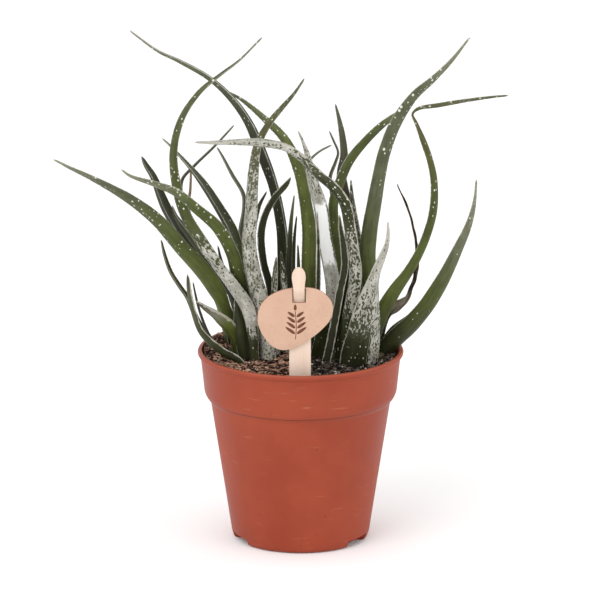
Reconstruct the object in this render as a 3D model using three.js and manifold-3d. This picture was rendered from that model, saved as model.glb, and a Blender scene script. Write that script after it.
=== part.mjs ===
// A potted maidu aloe: five crowded shoots of slender, toothed, white-flecked leaves
// in peat, in a round terracotta-coloured nursery pot with a plain plant label.
// Millimetres, +Z up, +X right, +Y away from the front. The origin is the centre of
// the pot's flat underside.

import * as THREE from "three";
import { mergeVertices } from "three/addons/utils/BufferGeometryUtils.js";
import Module from "manifold-3d";

const wasm = await Module();
wasm.setup();

// Clearance between neighbouring pieces, the smallest edge kept after a cut, and the
// smallest overlap in cubic millimetres that a cut is made for
const GAP = 0.3;
const FINEST_EDGE = 0.04;
const SMALLEST_CUT = 0.02;

// Pot: outer radius and height up the wall, one nominal size of 12 cm across the lip
const RIM_RADIUS = 60;
const RIM_HEIGHT = 112.6;
const WALL = 1.3;
const ROUND_SIDES = 36;
const POT_OUTSIDE = [
  [37.1, 0],
  [39.2, 0.9],
  [40.2, 3.5],
  [44.8, 33.6],
  [52.4, 82.5],
  [54.95, 85.7],
  [56, 88.4],
  [58.2, 109.3],
  [59.5, 109.9],
  [RIM_RADIUS, 111.3],
  [59.3, RIM_HEIGHT],
];
const POT_INSIDE = [
  [37.1, WALL],
  [38.9, 4.2],
  [43.5, 33.7],
  [51, 82.7],
  [53.7, 86.4],
  [54.7, 88.6],
  [56.9, 109.9],
  [57.6, RIM_HEIGHT + 0.4],
];

// Three drainage notches in the bottom edge, with a slot through the roof of each
const NOTCH_ANGLES = [87, 205, 327.5];
const NOTCH_SPREAD = 28;
const NOTCH_HEIGHT = 4.5;
const NOTCH_INNER = 33;
const NOTCH_OUTER = 47;
const DRAIN_LENGTH = 9;
const DRAIN_WIDTH = 3;
const DRAIN_RADIUS = 36;

// Soil: mounded a little towards the middle and rising to the back left, with low
// crumbs made by a formula
const SOIL_EDGE = 108.8;
const SOIL_MOUND = 1.4;
const SOIL_RISE = [-0.02, 0.04];
const SOIL_CRUMB = 0.45;
const SOIL_RADIUS = 56.2;
const SOIL_RINGS = [51, 45, 38, 30, 22, 13];

// Stem crowns under the leaves, each in a plain round hole in the soil
const CROWN_TOP = 112;
const CROWN_DEPTH = 32;
const CROWN_SIDES = 16;
const CROWNS = {
  left: [-36, 1, 8.5],
  inner_left: [-18, 3, 8.5],
  middle: [1, 5, 8],
  inner_right: [20, -2, 8.5],
  right: [40, -4, 9],
};

// The front of the plant was surveyed from this point. A survey reading is a place on
// the upright plane through the pot's axis, and the leaf lies on the line of sight
// through it, nearer or further by its own depth.
const EYE = new THREE.Vector3(-0.35, -3379.15, 1053.77);

// Leaf section: a channelled upper face over a keeled lower one, as six points round it
// from the right margin, in shares of the width across and of the thickness up
const LEAF_THICKNESS = 0.5;
const LEAF_THICKEST = 4.6;
const LEAF_THINNEST = 0.95;
const MARGIN_LIFT = 0.45;
const LEAF_SECTION = [
  [0.5, MARGIN_LIFT],
  [0, 0.2],
  [-0.5, MARGIN_LIFT],
  [-0.3, -0.25],
  [0, -0.5],
  [0.3, -0.25],
];
const RINGS_PER_SPAN = 2;
const DEPTH_CURVE = 1.5;
const TOOTH_REACH = 0.65;
const TOOTH_BASE = 0.09;
const TOOTH_LEAN = 0.03;
const TOOTH_EVERY = 2;
const TOOTHED_WIDTH = 3.2;

// Label: a pale brown board hung on a flat wooden stick through a slot
const LABEL_DEPTH = -50;
const BOARD_THICKNESS = 1.4;
const STICK_THICKNESS = 1.5;
const STICK_BEHIND = 2.1;
const STICK_BOTTOM = 81;
const SLOT = [-4.7, 3, 140.5, 149];
const BOARD_OUTLINE = [
  [-3, 149.5],
  [8, 149],
  [14, 146],
  [18, 141],
  [18.8, 136],
  [17, 130],
  [12, 124],
  [6, 119],
  [0, 115],
  [-6, 112.5],
  [-11, 112],
  [-16, 114],
  [-20, 118],
  [-23.5, 124],
  [-25, 130],
  [-24, 137],
  [-20, 143],
  [-13, 147.3],
];
// Half outline of the stick, from the soil up: left edge, right edge, height
const STICK_EDGES = [
  [-6.6, 6, 96],
  [-6.6, 6, 118],
  [-6.6, 6, 134],
  [-5.8, 4.6, 137.5],
  [-4.2, 2.4, 140],
  [-4.2, 2.3, 149.4],
  [-4.6, 2.5, 152],
  [-5.2, 3, 156],
  [-4.7, 2.6, 159],
  [-3.3, 1.2, 161.4],
  [-1.7, -0.4, 162.1],
];

// Leaves, root to tip. Each reading is across, up and the width seen there. Depth is
// the leaf's distance behind the pot's axis at root and tip. Turn is how far the
// channelled upper face is turned away from the front, in degrees: 0 faces the
// front, 90 faces right, -90 faces left and 180 shows the keeled back.
const LEAVES = {
  left: [
    {
      depth: [-4, -52],
      turn: [150, 118],
      line: [
        [-35, 104, 5], [-38, 117, 5.4], [-41, 128, 5.2], [-44.4, 138.5, 7], [-49.6, 149.6, 10.3],
        [-58, 161.5, 10.2], [-68, 172.5, 9.3], [-83, 190, 7.8], [-99.5, 203, 5.6],
        [-120.6, 215, 3.2], [-133, 221, 1.9], [-142.5, 226, 1],
      ],
    },
    {
      depth: [9, 40],
      turn: [60, 60],
      line: [
        [-34, 108, 5], [-38, 122, 6], [-46, 143, 6], [-60, 166, 6], [-70, 183, 6],
        [-77, 196, 6], [-80, 203, 5.5], [-85, 216, 4], [-89, 222.5, 3], [-91.6, 227.8, 1.4],
      ],
    },
    {
      depth: [2, 12],
      turn: [70, 80],
      line: [
        [-33, 107, 5], [-34, 122, 5.5], [-36, 137, 5.5], [-42, 150, 5], [-52, 164, 5],
        [-62, 178, 4.6], [-68, 186, 3.8], [-72, 192, 2.4], [-74.3, 198.7, 1],
      ],
    },
    {
      depth: [-8, 30],
      turn: [70, 60],
      line: [
        [-41, 105, 3], [-46, 111.5, 3.4], [-54.5, 120.5, 3.2], [-61, 132.5, 3],
        [-65.8, 144, 2.6], [-70.3, 150.7, 2.5], [-75.2, 159, 2.4], [-78.7, 169.2, 2],
        [-80.7, 178.2, 1],
      ],
    },
    {
      depth: [-21, -38],
      turn: [130, 120],
      line: [
        [-34, 103, 4.5], [-37.5, 106.6, 4.5], [-43.5, 109.8, 4.6], [-51, 115.5, 4.4],
        [-57.7, 123, 3.6], [-61.3, 132.2, 3.2], [-63.6, 141.5, 3], [-64.8, 150, 2.6],
        [-65.3, 157.3, 1.5],
      ],
    },
    {
      depth: [-13, -4],
      turn: [100, 100],
      line: [
        [-43, 105, 2], [-47, 112, 2], [-53.4, 121.5, 1.8], [-58.1, 133.8, 1.6],
        [-60.3, 142, 1.4], [-62.4, 152.8, 0.8],
      ],
    },
    {
      depth: [-8, -34],
      turn: [150, 130],
      line: [
        [-33, 106, 5], [-37, 117, 6.4], [-41, 125.5, 7.4], [-45, 129.6, 7],
        [-50, 133.8, 5], [-55.3, 137.3, 3.4], [-60.5, 141.5, 1.2],
      ],
    },
    {
      depth: [-14, -17],
      turn: [165, 150],
      line: [
        [-31, 102, 7.5], [-32.4, 110, 8.2], [-34.4, 120, 8.4], [-35.7, 130, 6.2],
        [-37.2, 138.5, 2.8], [-38, 143, 0.9],
      ],
    },
    {
      depth: [14, 28],
      turn: [40, 50],
      line: [
        [-33, 110, 3], [-36, 128, 3], [-41, 146, 3], [-45.2, 162, 2.4],
        [-46.6, 168, 1.7], [-47.9, 174.6, 0.8],
      ],
    },
    {
      depth: [20, 66],
      turn: [60, 50],
      line: [
        [-31, 112, 4], [-34, 140, 4.5], [-46, 161, 4.5], [-56, 176, 4.3], [-65, 191, 3.6],
        [-69, 204, 2.6], [-68.3, 214, 2], [-61.5, 222, 1.8], [-49.4, 234, 1.5],
        [-38.3, 246.3, 0.8],
      ],
    },
    {
      depth: [7, 50],
      turn: [55, 65],
      line: [
        [-26, 109, 6.5], [-30, 135, 7], [-34.5, 163, 7], [-39, 182, 6.6], [-48, 199, 5.6],
        [-57, 213, 4.4], [-64.4, 222.3, 2.6], [-74.4, 233.4, 1.4], [-79.7, 238.5, 0.8],
      ],
    },
    {
      depth: [26, 60],
      turn: [45, 45],
      line: [
        [-29, 113, 3], [-32, 135, 3.2], [-44, 158, 3.2], [-57, 180, 3], [-65, 196, 2.2],
        [-63.8, 207, 1.7], [-63.4, 215, 1.4], [-63.3, 223, 0.8],
      ],
    },
    {
      depth: [16, 78],
      turn: [60, 60],
      line: [
        [-39, 110, 7], [-42, 125, 7.4], [-47, 143, 7], [-58, 161, 6.4], [-72, 178, 5],
        [-88, 193, 3.2], [-104, 204.5, 1],
      ],
    },
  ],
  inner_left: [
    {
      depth: [-19, -32],
      turn: [150, 75],
      line: [
        [-26.3, 101, 5], [-27, 112, 5.4], [-28, 124, 6.6], [-30.6, 137, 8.2], [-38, 149, 7.6],
        [-47, 161.5, 6.6], [-56, 175, 7], [-66, 192, 6], [-71, 208, 5.4], [-73.2, 230, 4.5],
        [-68.5, 250, 3.8], [-58, 266, 3], [-46.5, 275.8, 2], [-35, 284.7, 1.3],
        [-22, 298, 0.9],
      ],
    },
    {
      depth: [-4, -58],
      turn: [155, 125],
      line: [
        [-23, 105, 7], [-25, 120, 7.5], [-30, 140, 7.5], [-36, 156, 8], [-39.5, 170, 7.5],
        [-48, 185.5, 7], [-60, 196.5, 6], [-72, 206.5, 5], [-83.7, 211.2, 3.5],
        [-98.4, 216.3, 1.8], [-103.3, 220, 1],
      ],
    },
    {
      depth: [-15, -42],
      turn: [165, 140],
      line: [
        [-18.6, 104, 9], [-19.4, 120, 9.6], [-23, 140, 10.3], [-27, 156, 9.5],
        [-29.8, 175, 7.9], [-28.5, 195, 7.2], [-27, 220, 6], [-24.5, 235, 4.6],
        [-18, 247.5, 3.6], [-10, 257.4, 2.9], [-4, 264.5, 2], [2.2, 273.7, 1],
      ],
    },
    {
      depth: [3, 4],
      turn: [10, 17],
      line: [
        [-13, 108, 4.5], [-15, 130, 4.6], [-18, 151, 4.5], [-21.5, 165, 4.3],
        [-22.8, 182, 4.3], [-20, 194, 4], [-14.5, 203.8, 3.8], [-8.5, 210.8, 3.2],
        [-5.6, 215.3, 1.2],
      ],
    },
    {
      depth: [9, 62],
      turn: [-45, -60],
      line: [
        [-9, 109, 7], [-10, 135, 7], [-10, 165, 6.8], [-11, 185, 6.3], [-15.7, 210, 5.8],
        [-23, 231, 6.3], [-30.2, 248, 5], [-39.5, 261.6, 4], [-52.2, 273.7, 3.2],
        [-69.7, 284, 2.4], [-82, 290, 1.7], [-98, 302, 0.9],
      ],
    },
    {
      depth: [14, 58],
      turn: [40, 60],
      line: [
        [-23, 110, 4], [-27, 140, 4.4], [-31, 160, 4.4], [-33.5, 175, 4.4], [-34, 184, 4],
        [-32.5, 195, 3.2], [-33, 205, 2.4], [-39.5, 217, 2.1], [-45.3, 228.3, 1.5],
        [-48.2, 233.3, 0.9],
      ],
    },
    {
      depth: [19, 64],
      turn: [25, 17],
      line: [
        [-19, 112, 5], [-23, 140, 5], [-28, 165, 4.6], [-27.5, 183, 3.6],
        [-24, 198, 2.4], [-19.5, 207, 0.9],
      ],
    },
    {
      depth: [-3, -20],
      turn: [170, 170],
      line: [
        [-13, 103, 3.8], [-15, 125, 3.8], [-15.3, 148, 3.7], [-14.8, 158, 3],
        [-14.1, 168, 0.9],
      ],
    },
    {
      depth: [-2, -16],
      turn: [170, 170],
      line: [
        [-8, 104, 3.8], [-8.8, 130, 3.9], [-9.6, 152, 3.8], [-10.5, 163, 2.6],
        [-11.5, 171, 0.9],
      ],
    },
    {
      depth: [28, 88],
      turn: [20, 15],
      line: [
        [-20, 113, 7], [-24, 140, 7.4], [-28.5, 165, 6.4], [-28.6, 190, 5],
        [-27.4, 210, 3.2], [-25, 229, 1],
      ],
    },
  ],
  middle: [
    {
      depth: [0, 52],
      turn: [165, 150],
      line: [
        [4, 106, 8], [4.5, 130, 8.4], [4.7, 165, 8.3], [4.8, 185, 8], [2.8, 201, 7.4],
        [-0.7, 219, 6.8], [-8.8, 237.4, 5.4], [-20.4, 249.8, 3.8], [-34.9, 262, 2],
        [-44, 267, 0.9],
      ],
    },
    {
      depth: [1, -30],
      turn: [175, 170],
      line: [
        [-5, 106, 3.5], [-6, 130, 3.6], [-6.8, 155, 3.6], [-6.3, 176, 3], [-5.4, 190, 2.2],
        [-3.7, 204.8, 0.9],
      ],
    },
    {
      depth: [7, 20],
      turn: [10, 20],
      line: [
        [-2.5, 108, 2.6], [-3.5, 140, 2.6], [-4.2, 163, 2.5], [-3.5, 180, 1.9],
        [-2.3, 192.4, 0.9],
      ],
    },
    {
      depth: [-7, -22],
      turn: [180, 180],
      line: [
        [0, 103, 2.4], [-0.6, 135, 2.4], [-1.1, 160, 2.2], [-1.6, 175.3, 0.9],
      ],
    },
    {
      depth: [-4, -10],
      turn: [0, 0],
      line: [
        [9.5, 104, 3], [9.5, 130, 3], [10.3, 155, 2.8], [10.3, 175, 2.2], [9.5, 195, 0.9],
      ],
    },
    {
      depth: [13, 46],
      turn: [-25, -63],
      line: [
        [2, 109, 5], [3, 140, 5.5], [4, 170, 5.5], [3, 195, 5], [1.5, 212, 4],
        [2.5, 221.5, 2.6], [6.4, 226.8, 1.6], [11.3, 231, 1.2], [18, 234.6, 0.8],
      ],
    },
    {
      depth: [25, 84],
      turn: [-10, -10],
      line: [
        [6, 112, 7], [6, 140, 7.4], [5, 165, 6.6], [4.6, 183, 5], [3, 198, 3.2],
        [0.5, 213, 1],
      ],
    },
  ],
  inner_right: [
    {
      depth: [-11, -72],
      turn: [140, 70],
      line: [
        [23, 103, 8.5], [26, 122, 8.5], [29.5, 140, 8], [32, 157, 8], [30.5, 172, 8],
        [28.5, 187, 8], [25.5, 200, 7.8], [19, 209.5, 7.5], [11, 216.5, 7.2],
        [2, 225.5, 6.5], [-8, 232.7, 5.6], [-23.3, 236, 4.6], [-38, 236.2, 3.3],
        [-50, 236, 2.2], [-61, 236.1, 0.9],
      ],
    },
    {
      depth: [-9, 22],
      turn: [25, 40],
      line: [
        [10, 104, 10], [14, 120, 10], [18.5, 134, 9.5], [19.3, 147, 9], [17, 163, 8.6],
        [14, 180, 8.4], [11.5, 198, 8], [7, 213, 6.6], [3.8, 229, 3.2], [1.3, 236.5, 1.8],
        [-1.4, 242.8, 0.9],
      ],
    },
    {
      depth: [-17, -3],
      turn: [0, -10],
      line: [
        [14, 101, 5], [16.5, 112, 5], [19.5, 128, 4.8], [23, 148, 4.6], [25.6, 162, 4.4],
        [24.8, 175, 4], [23.2, 185, 2.8], [22.5, 193, 1],
      ],
    },
    {
      depth: [7, 46],
      turn: [-150, -140],
      line: [
        [22, 109, 6], [22, 135, 6], [22.5, 160, 5.8], [20, 183, 5.6], [19, 200, 5.6],
        [22.5, 212, 5.8], [28.1, 225, 5.6], [37.9, 237.5, 4.7], [48.9, 248.1, 3.7],
        [61, 257, 1.2],
      ],
    },
    {
      depth: [14, 64],
      turn: [-30, -60],
      line: [
        [18, 110, 5], [20, 140, 5], [20, 165, 4.6], [19.3, 190, 4], [18.5, 205, 3.2],
        [17, 215, 2.2], [20, 224, 1.9], [21.6, 230, 1.5], [19, 237, 1.2],
        [16.5, 242.8, 0.8],
      ],
    },
    {
      depth: [12, 75],
      turn: [-30, -30],
      line: [
        [27, 110, 6], [31, 135, 6], [31.5, 160, 6.4], [29, 184, 6.4], [26, 202, 6],
        [23.5, 217, 5.6], [25, 228, 4.6], [24, 239.8, 3.7], [22.3, 249, 2.6],
        [20, 258.7, 1],
      ],
    },
    {
      depth: [7, 16],
      turn: [-45, -43],
      line: [
        [34, 109, 6], [36, 130, 6.2], [36, 150, 6], [34.5, 165, 5.6], [32.5, 182, 4.8],
        [30.5, 196, 3.6], [29.5, 206, 2.2], [29, 214, 1],
      ],
    },
    {
      depth: [-1, 2],
      turn: [0, 0],
      line: [
        [22, 104, 6], [24, 120, 6.4], [26, 135, 6], [27.8, 150, 5], [29, 160, 3.2],
        [29.4, 167, 1],
      ],
    },
  ],
  right: [
    {
      depth: [-8, -48],
      turn: [-145, -115],
      line: [
        [38, 100, 8], [39.5, 112, 8.4], [41, 128, 9], [40.5, 148, 10],
        [38.6, 168, 10.3], [40, 185, 9.8], [42.5, 200, 9], [45.1, 215.5, 8],
        [48.2, 230, 7.3], [54.8, 247.8, 6.6], [65.2, 263.6, 4.9], [75.5, 273, 3.7],
        [85.8, 283.5, 2.4], [97, 298, 1],
      ],
    },
    {
      depth: [3, 31],
      turn: [-140, -110],
      line: [
        [40, 107, 8], [43.5, 124, 9], [48, 136, 9.4], [54.8, 148, 7.8], [62.3, 158.8, 6],
        [68, 169, 5.2], [72.4, 179.4, 4.9], [76.5, 194.8, 4.7], [77, 212.5, 4.2],
        [74.7, 224.9, 3.8], [71, 236, 3.4], [66.4, 247.7, 2], [64.3, 252.8, 1.4],
        [67.5, 256, 2], [79, 258.1, 2.6], [95.7, 261, 2], [112.9, 263.3, 1.3],
        [119.3, 263.8, 0.8],
      ],
    },
    {
      depth: [-20, -42],
      turn: [-170, -150],
      line: [
        [33, 98, 21], [33.5, 108, 22], [35.6, 120, 19.5], [37, 130, 16.5], [38.6, 140, 12.6],
        [41, 150, 7.6], [44, 160, 5.2], [46.2, 165.5, 4.6], [48.2, 170.5, 3.8],
        [49.9, 175.5, 2.7], [50.6, 182, 1.9], [50.4, 189, 0.9],
      ],
    },
    {
      depth: [0, -55],
      turn: [-145, -125],
      line: [
        [45, 104, 9], [49, 112.5, 10.5], [55.5, 119.7, 11], [64, 128, 10.8], [72.5, 138.2, 9.9],
        [79, 148.5, 9], [84.6, 158.8, 7.7], [91.7, 174.2, 5.8], [96.2, 184.5, 4.5],
        [99.3, 194.8, 3], [100.8, 204, 1.8], [101.4, 214, 0.9],
      ],
    },
    {
      depth: [17, 80],
      turn: [-25, -45],
      line: [
        [40, 111, 7], [41, 130, 7.6], [39.5, 152, 7.2], [39, 170, 6.4], [41.5, 190, 5],
        [45, 210, 3.2], [48, 228, 1],
      ],
    },
    {
      depth: [15, 66],
      turn: [-50, -60],
      line: [
        [47, 110, 6.4], [54, 122.5, 6.6], [67, 133, 6.4], [78, 148, 5.2], [87, 165, 3.8],
        [94.5, 182, 2.2], [99, 196, 1],
      ],
    },
    {
      depth: [11, 30],
      turn: [-60, -60],
      dry: true,
      line: [
        [42, 110, 3], [45, 125, 3], [50, 132.8, 3], [56, 136.8, 3], [60.5, 141.4, 2.8],
        [63.8, 148.5, 2.6],
        [66.5, 157, 2.4], [67.3, 168, 2.2], [66, 181, 1.8], [61.5, 198, 1.4],
        [55.4, 211.7, 0.8],
      ],
    },
    {
      depth: [8, 12],
      turn: [-30, -50],
      dry: true,
      line: [
        [45, 110, 4], [46.5, 124, 4.4], [49.8, 134, 5], [54.5, 138.3, 4.6], [59, 141.2, 3],
        [62, 144.4, 1.2],
      ],
    },
  ],
};

const DEGREES = Math.PI / 180;

// Materials, one for each kind of surface
function material(color, roughness) {
  return new THREE.MeshStandardMaterial({ color, roughness, metalness: 0 });
}
const terracotta = material(0xa8523c, 0.55);
const peat = material(0x3c2319, 0.95);
const leafGreen = material(0x55643a, 0.55);
const dryLeaf = material(0x4a3a2c, 0.8);
const stemGreen = material(0x8c8a62, 0.7);
const boardBrown = material(0xe4baa0, 0.85);
const paleWood = material(0xf0d8bc, 0.7);

// Solids from three.js geometry, and back again
function solidFrom(geometry) {
  const bare = new THREE.BufferGeometry();
  bare.setAttribute("position", geometry.getAttribute("position").clone());
  if (geometry.index) bare.setIndex(geometry.index.clone());
  const merged = mergeVertices(bare, 1e-4);
  const vertProperties = new Float32Array(merged.getAttribute("position").array);
  const triangles = [];
  const index = merged.index.array;
  for (let i = 0; i < index.length; i += 3) {
    const [a, b, c] = [index[i], index[i + 1], index[i + 2]];
    if (a !== b && b !== c && c !== a) triangles.push([a, b, c]);
  }
  const meshOf = (corners) => {
    return new wasm.Mesh({ numProp: 3, vertProperties, triVerts: new Uint32Array(corners.flat()) });
  };
  const solid = new wasm.Manifold(meshOf(triangles));
  if (solid.volume() > 0) return solid;
  return new wasm.Manifold(meshOf(triangles.map(([a, b, c]) => [a, c, b])));
}

function geometryFrom(solid) {
  const { vertProperties, triVerts } = solid.getMesh();
  const geometry = new THREE.BufferGeometry();
  geometry.setAttribute("position", new THREE.BufferAttribute(new Float32Array(vertProperties), 3));
  geometry.setIndex(new THREE.BufferAttribute(new Uint32Array(triVerts), 1));
  geometry.computeVertexNormals();
  return geometry;
}

function largestBody(solid) {
  const bodies = solid.decompose();
  return bodies.reduce((best, body) => (body.volume() > best.volume() ? body : best));
}

function revolved(profile, sides) {
  const points = profile.map(([radius, height]) => new THREE.Vector2(radius, height));
  return solidFrom(new THREE.LatheGeometry(points, sides).rotateX(Math.PI / 2));
}

function extruded(outline, thickness, front) {
  const shape = new THREE.Shape(outline.map(([x, z]) => new THREE.Vector2(x, z)));
  const geometry = new THREE.ExtrudeGeometry(shape, { depth: thickness, bevelEnabled: false });
  return geometry.rotateX(Math.PI / 2).translate(0, front + thickness, 0);
}

// Where the line of sight through a survey reading meets a given depth
function sight(across, up, depth) {
  const reading = new THREE.Vector3(across, 0, up);
  return reading.lerpVectors(EYE, reading.clone(), 1 - depth / EYE.y);
}

// Pot
function notchBlock(angle, extra) {
  const half = (NOTCH_SPREAD / 2) * DEGREES;
  const inner = NOTCH_INNER - extra;
  const spread = inner * Math.tan(half) + extra;
  const wide = NOTCH_OUTER * Math.tan(half) + extra;
  const outline = [
    [inner, -spread],
    [NOTCH_OUTER, -wide],
    [NOTCH_OUTER, wide],
    [inner, spread],
  ];
  const shape = new THREE.Shape(outline.map(([x, y]) => new THREE.Vector2(x, y)));
  const height = NOTCH_HEIGHT + extra;
  const block = new THREE.ExtrudeGeometry(shape, { depth: height + 5, bevelEnabled: false });
  return solidFrom(block.translate(0, 0, -5).rotateZ(angle * DEGREES));
}

function drainSlot(angle) {
  const slot = new THREE.BoxGeometry(DRAIN_WIDTH, DRAIN_LENGTH, 10);
  return solidFrom(slot.translate(DRAIN_RADIUS, 0, NOTCH_HEIGHT).rotateZ(angle * DEGREES));
}

function potSolid() {
  const outside = revolved([[0, 0], ...POT_OUTSIDE, [0, RIM_HEIGHT]], ROUND_SIDES);
  let hollow = revolved([[0, WALL], ...POT_INSIDE, [0, RIM_HEIGHT + 0.4]], ROUND_SIDES);
  for (const angle of NOTCH_ANGLES) hollow = hollow.subtract(notchBlock(angle, WALL));
  let pot = outside.subtract(hollow);
  for (const angle of NOTCH_ANGLES) {
    pot = pot.subtract(notchBlock(angle, 0)).subtract(drainSlot(angle));
  }
  return pot;
}

// Soil
function soilHeight(x, y) {
  const spread = Math.hypot(x, y) / SOIL_RADIUS;
  const crumb = Math.sin(0.71 * x + 0.9) * Math.cos(0.63 * y - 0.4) + 0.6 * Math.sin(0.37 * x - 0.52 * y);
  const slope = SOIL_RISE[0] * x + SOIL_RISE[1] * y;
  return SOIL_EDGE + SOIL_MOUND * (1 - spread * spread) + slope + SOIL_CRUMB * crumb;
}

function soilBody() {
  const side = POT_INSIDE.slice(0, -2).map(([radius, height]) => [radius - GAP, height]);
  side[0][1] = WALL + GAP;
  const brim = [SOIL_RADIUS, SOIL_EDGE];
  const top = SOIL_RINGS.map((radius) => [radius, SOIL_EDGE]);
  const profile = [[0, WALL + GAP], ...side, brim, ...top, [0, SOIL_EDGE]];
  const points = profile.map(([radius, height]) => new THREE.Vector2(radius, height));
  const geometry = new THREE.LatheGeometry(points, ROUND_SIDES).rotateX(Math.PI / 2);
  const place = geometry.getAttribute("position");
  for (let i = 0; i < place.count; i += 1) {
    if (place.getZ(i) > SOIL_EDGE - 0.01) {
      place.setZ(i, soilHeight(place.getX(i), place.getY(i)));
    }
  }
  let soil = solidFrom(geometry);
  for (const angle of NOTCH_ANGLES) soil = soil.subtract(notchBlock(angle, WALL + GAP));
  return soil;
}

// Stem crowns
function crownSolid([x, y, radius], extra) {
  const profile = [
    [0, CROWN_TOP - CROWN_DEPTH - extra],
    [radius * 0.8 + extra, CROWN_TOP - CROWN_DEPTH - extra],
    [radius + extra, CROWN_TOP - 8],
    [radius + extra, CROWN_TOP - 1.6 + extra],
    [radius - 1.8 + extra, CROWN_TOP + extra],
    [0, CROWN_TOP + 0.3 + extra],
  ];
  return revolved(profile, CROWN_SIDES).translate([x, y, 0]);
}

function crownHole([x, y, radius]) {
  const depth = CROWN_TOP - CROWN_DEPTH - GAP;
  const profile = [
    [0, depth],
    [radius + GAP, depth],
    [radius + GAP, CROWN_TOP + 10],
    [0, CROWN_TOP + 10],
  ];
  return revolved(profile, CROWN_SIDES).translate([x, y, 0]);
}

// Leaves
function leafStations(leaf) {
  const readings = leaf.line;
  const travel = [0];
  for (let i = 1; i < readings.length; i += 1) {
    const [fromX, fromZ] = readings[i - 1];
    const [toX, toZ] = readings[i];
    travel.push(travel[i - 1] + Math.hypot(toX - fromX, toZ - fromZ));
  }
  const share = travel.map((distance) => distance / travel.at(-1));
  const places = readings.map(([across, up], i) => {
    const depth = THREE.MathUtils.lerp(leaf.depth[0], leaf.depth[1], share[i] ** DEPTH_CURVE);
    return sight(across, up, depth);
  });
  const spine = new THREE.CatmullRomCurve3(places, false, "centripetal");
  const spans = readings.length - 1;
  const stations = [];
  for (let ring = 0; ring <= spans * RINGS_PER_SPAN; ring += 1) {
    const along = ring / RINGS_PER_SPAN;
    const before = Math.min(Math.floor(along), spans - 1);
    const part = along - before;
    stations.push({
      place: spine.getPoint(along / spans),
      forward: spine.getTangent(along / spans),
      seen: THREE.MathUtils.lerp(readings[before][2], readings[before + 1][2], part),
      turn: THREE.MathUtils.lerp(
        leaf.turn[0], leaf.turn[1], THREE.MathUtils.lerp(share[before], share[before + 1], part)
      ) * DEGREES,
    });
  }
  return stations;
}

// One ring of the leaf. Its width and place follow from its outline as seen when turned
function leafRing({ place, forward, seen, turn }, extra) {
  const toEye = EYE.clone().sub(place).normalize();
  const rightward = new THREE.Vector3().crossVectors(forward, toEye).normalize();
  const frontward = new THREE.Vector3().crossVectors(rightward, forward);
  const upper = frontward.multiplyScalar(Math.cos(turn)).addScaledVector(rightward, Math.sin(turn));
  const across = new THREE.Vector3().crossVectors(forward, upper);
  const outline = LEAF_SECTION.map(([u, v]) => {
    return u * Math.cos(turn) + v * LEAF_THICKNESS * Math.sin(turn);
  });
  const [low, high] = [Math.min(...outline), Math.max(...outline)];
  const width = seen / (high - low);
  const centre = place.clone().addScaledVector(rightward, (-width * (low + high)) / 2);
  const thick = THREE.MathUtils.clamp(width * LEAF_THICKNESS, LEAF_THINNEST, LEAF_THICKEST);
  const corners = LEAF_SECTION.map(([u, v]) => {
    const rise = extra > 0 && v > 0 ? MARGIN_LIFT : v;
    const point = centre.clone().addScaledVector(across, u * width + Math.sign(u) * extra);
    return point.addScaledVector(upper, rise * thick + Math.sign(rise) * extra);
  });
  return { corners, across, width };
}

function leafSolid(leaf, extra = 0) {
  const rings = leafStations(leaf).map((station) => leafRing(station, extra));
  const tip = rings.pop().corners.reduce((sum, corner) => sum.addScaledVector(corner, 1 / 6),
    new THREE.Vector3());
  const points = rings.flatMap((ring) => ring.corners);
  const triangles = [];
  const corner = (ring, side) => ring * 6 + (side % 6);
  const addPoint = (point) => points.push(point) - 1;

  // A side without a tooth is two triangles, and a toothed margin splits both sides by it
  const plainSide = (ring, side) => {
    triangles.push([corner(ring, side), corner(ring, side + 1), corner(ring + 1, side + 1)]);
    triangles.push([corner(ring, side), corner(ring + 1, side + 1), corner(ring + 1, side)]);
  };
  const toothedSides = (ring, margin, outward) => {
    const low = points[corner(ring, margin)];
    const high = points[corner(ring + 1, margin)];
    const middle = 0.5 + TOOTH_LEAN;
    const start = addPoint(low.clone().lerp(high, 0.5 - TOOTH_BASE));
    const end = addPoint(low.clone().lerp(high, 0.5 + TOOTH_BASE));
    const apex = addPoint(low.clone().lerp(high, middle).addScaledVector(outward, TOOTH_REACH));
    const edge = [corner(ring, margin), start, apex, end, corner(ring + 1, margin)];
    const after = [corner(ring, margin + 1), corner(ring + 1, margin + 1)];
    const before = [corner(ring, margin + 5), corner(ring + 1, margin + 5)];
    triangles.push([edge[0], after[0], edge[1]], [edge[1], after[0], edge[2]]);
    triangles.push([edge[2], after[0], after[1]]);
    triangles.push([edge[2], after[1], edge[3]], [edge[3], after[1], edge[4]]);
    triangles.push([before[0], edge[0], edge[1]], [before[0], edge[1], edge[2]]);
    triangles.push([before[0], edge[2], before[1]]);
    triangles.push([before[1], edge[2], edge[3]], [before[1], edge[3], edge[4]]);
  };

  for (let ring = 0; ring < rings.length - 1; ring += 1) {
    const wide = ring > 1 && rings[ring + 1].width > TOOTHED_WIDTH;
    const toothed = extra === 0 && !leaf.dry && wide && ring % TOOTH_EVERY === 0;
    if (toothed) {
      toothedSides(ring, 0, rings[ring].across);
      toothedSides(ring, 2, rings[ring].across.clone().negate());
      plainSide(ring, 3);
      plainSide(ring, 4);
    } else {
      for (let side = 0; side < 6; side += 1) plainSide(ring, side);
    }
  }
  const last = rings.length - 1;
  const root = addPoint(points.slice(0, 6).reduce((sum, place) => sum.addScaledVector(place, 1 / 6),
    new THREE.Vector3()));
  const end = addPoint(tip);
  for (let side = 0; side < 6; side += 1) {
    triangles.push([root, corner(0, side + 1), corner(0, side)]);
    triangles.push([corner(last, side), corner(last, side + 1), end]);
  }
  const geometry = new THREE.BufferGeometry().setFromPoints(points);
  geometry.setIndex(triangles.flat());
  return solidFrom(geometry);
}

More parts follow.
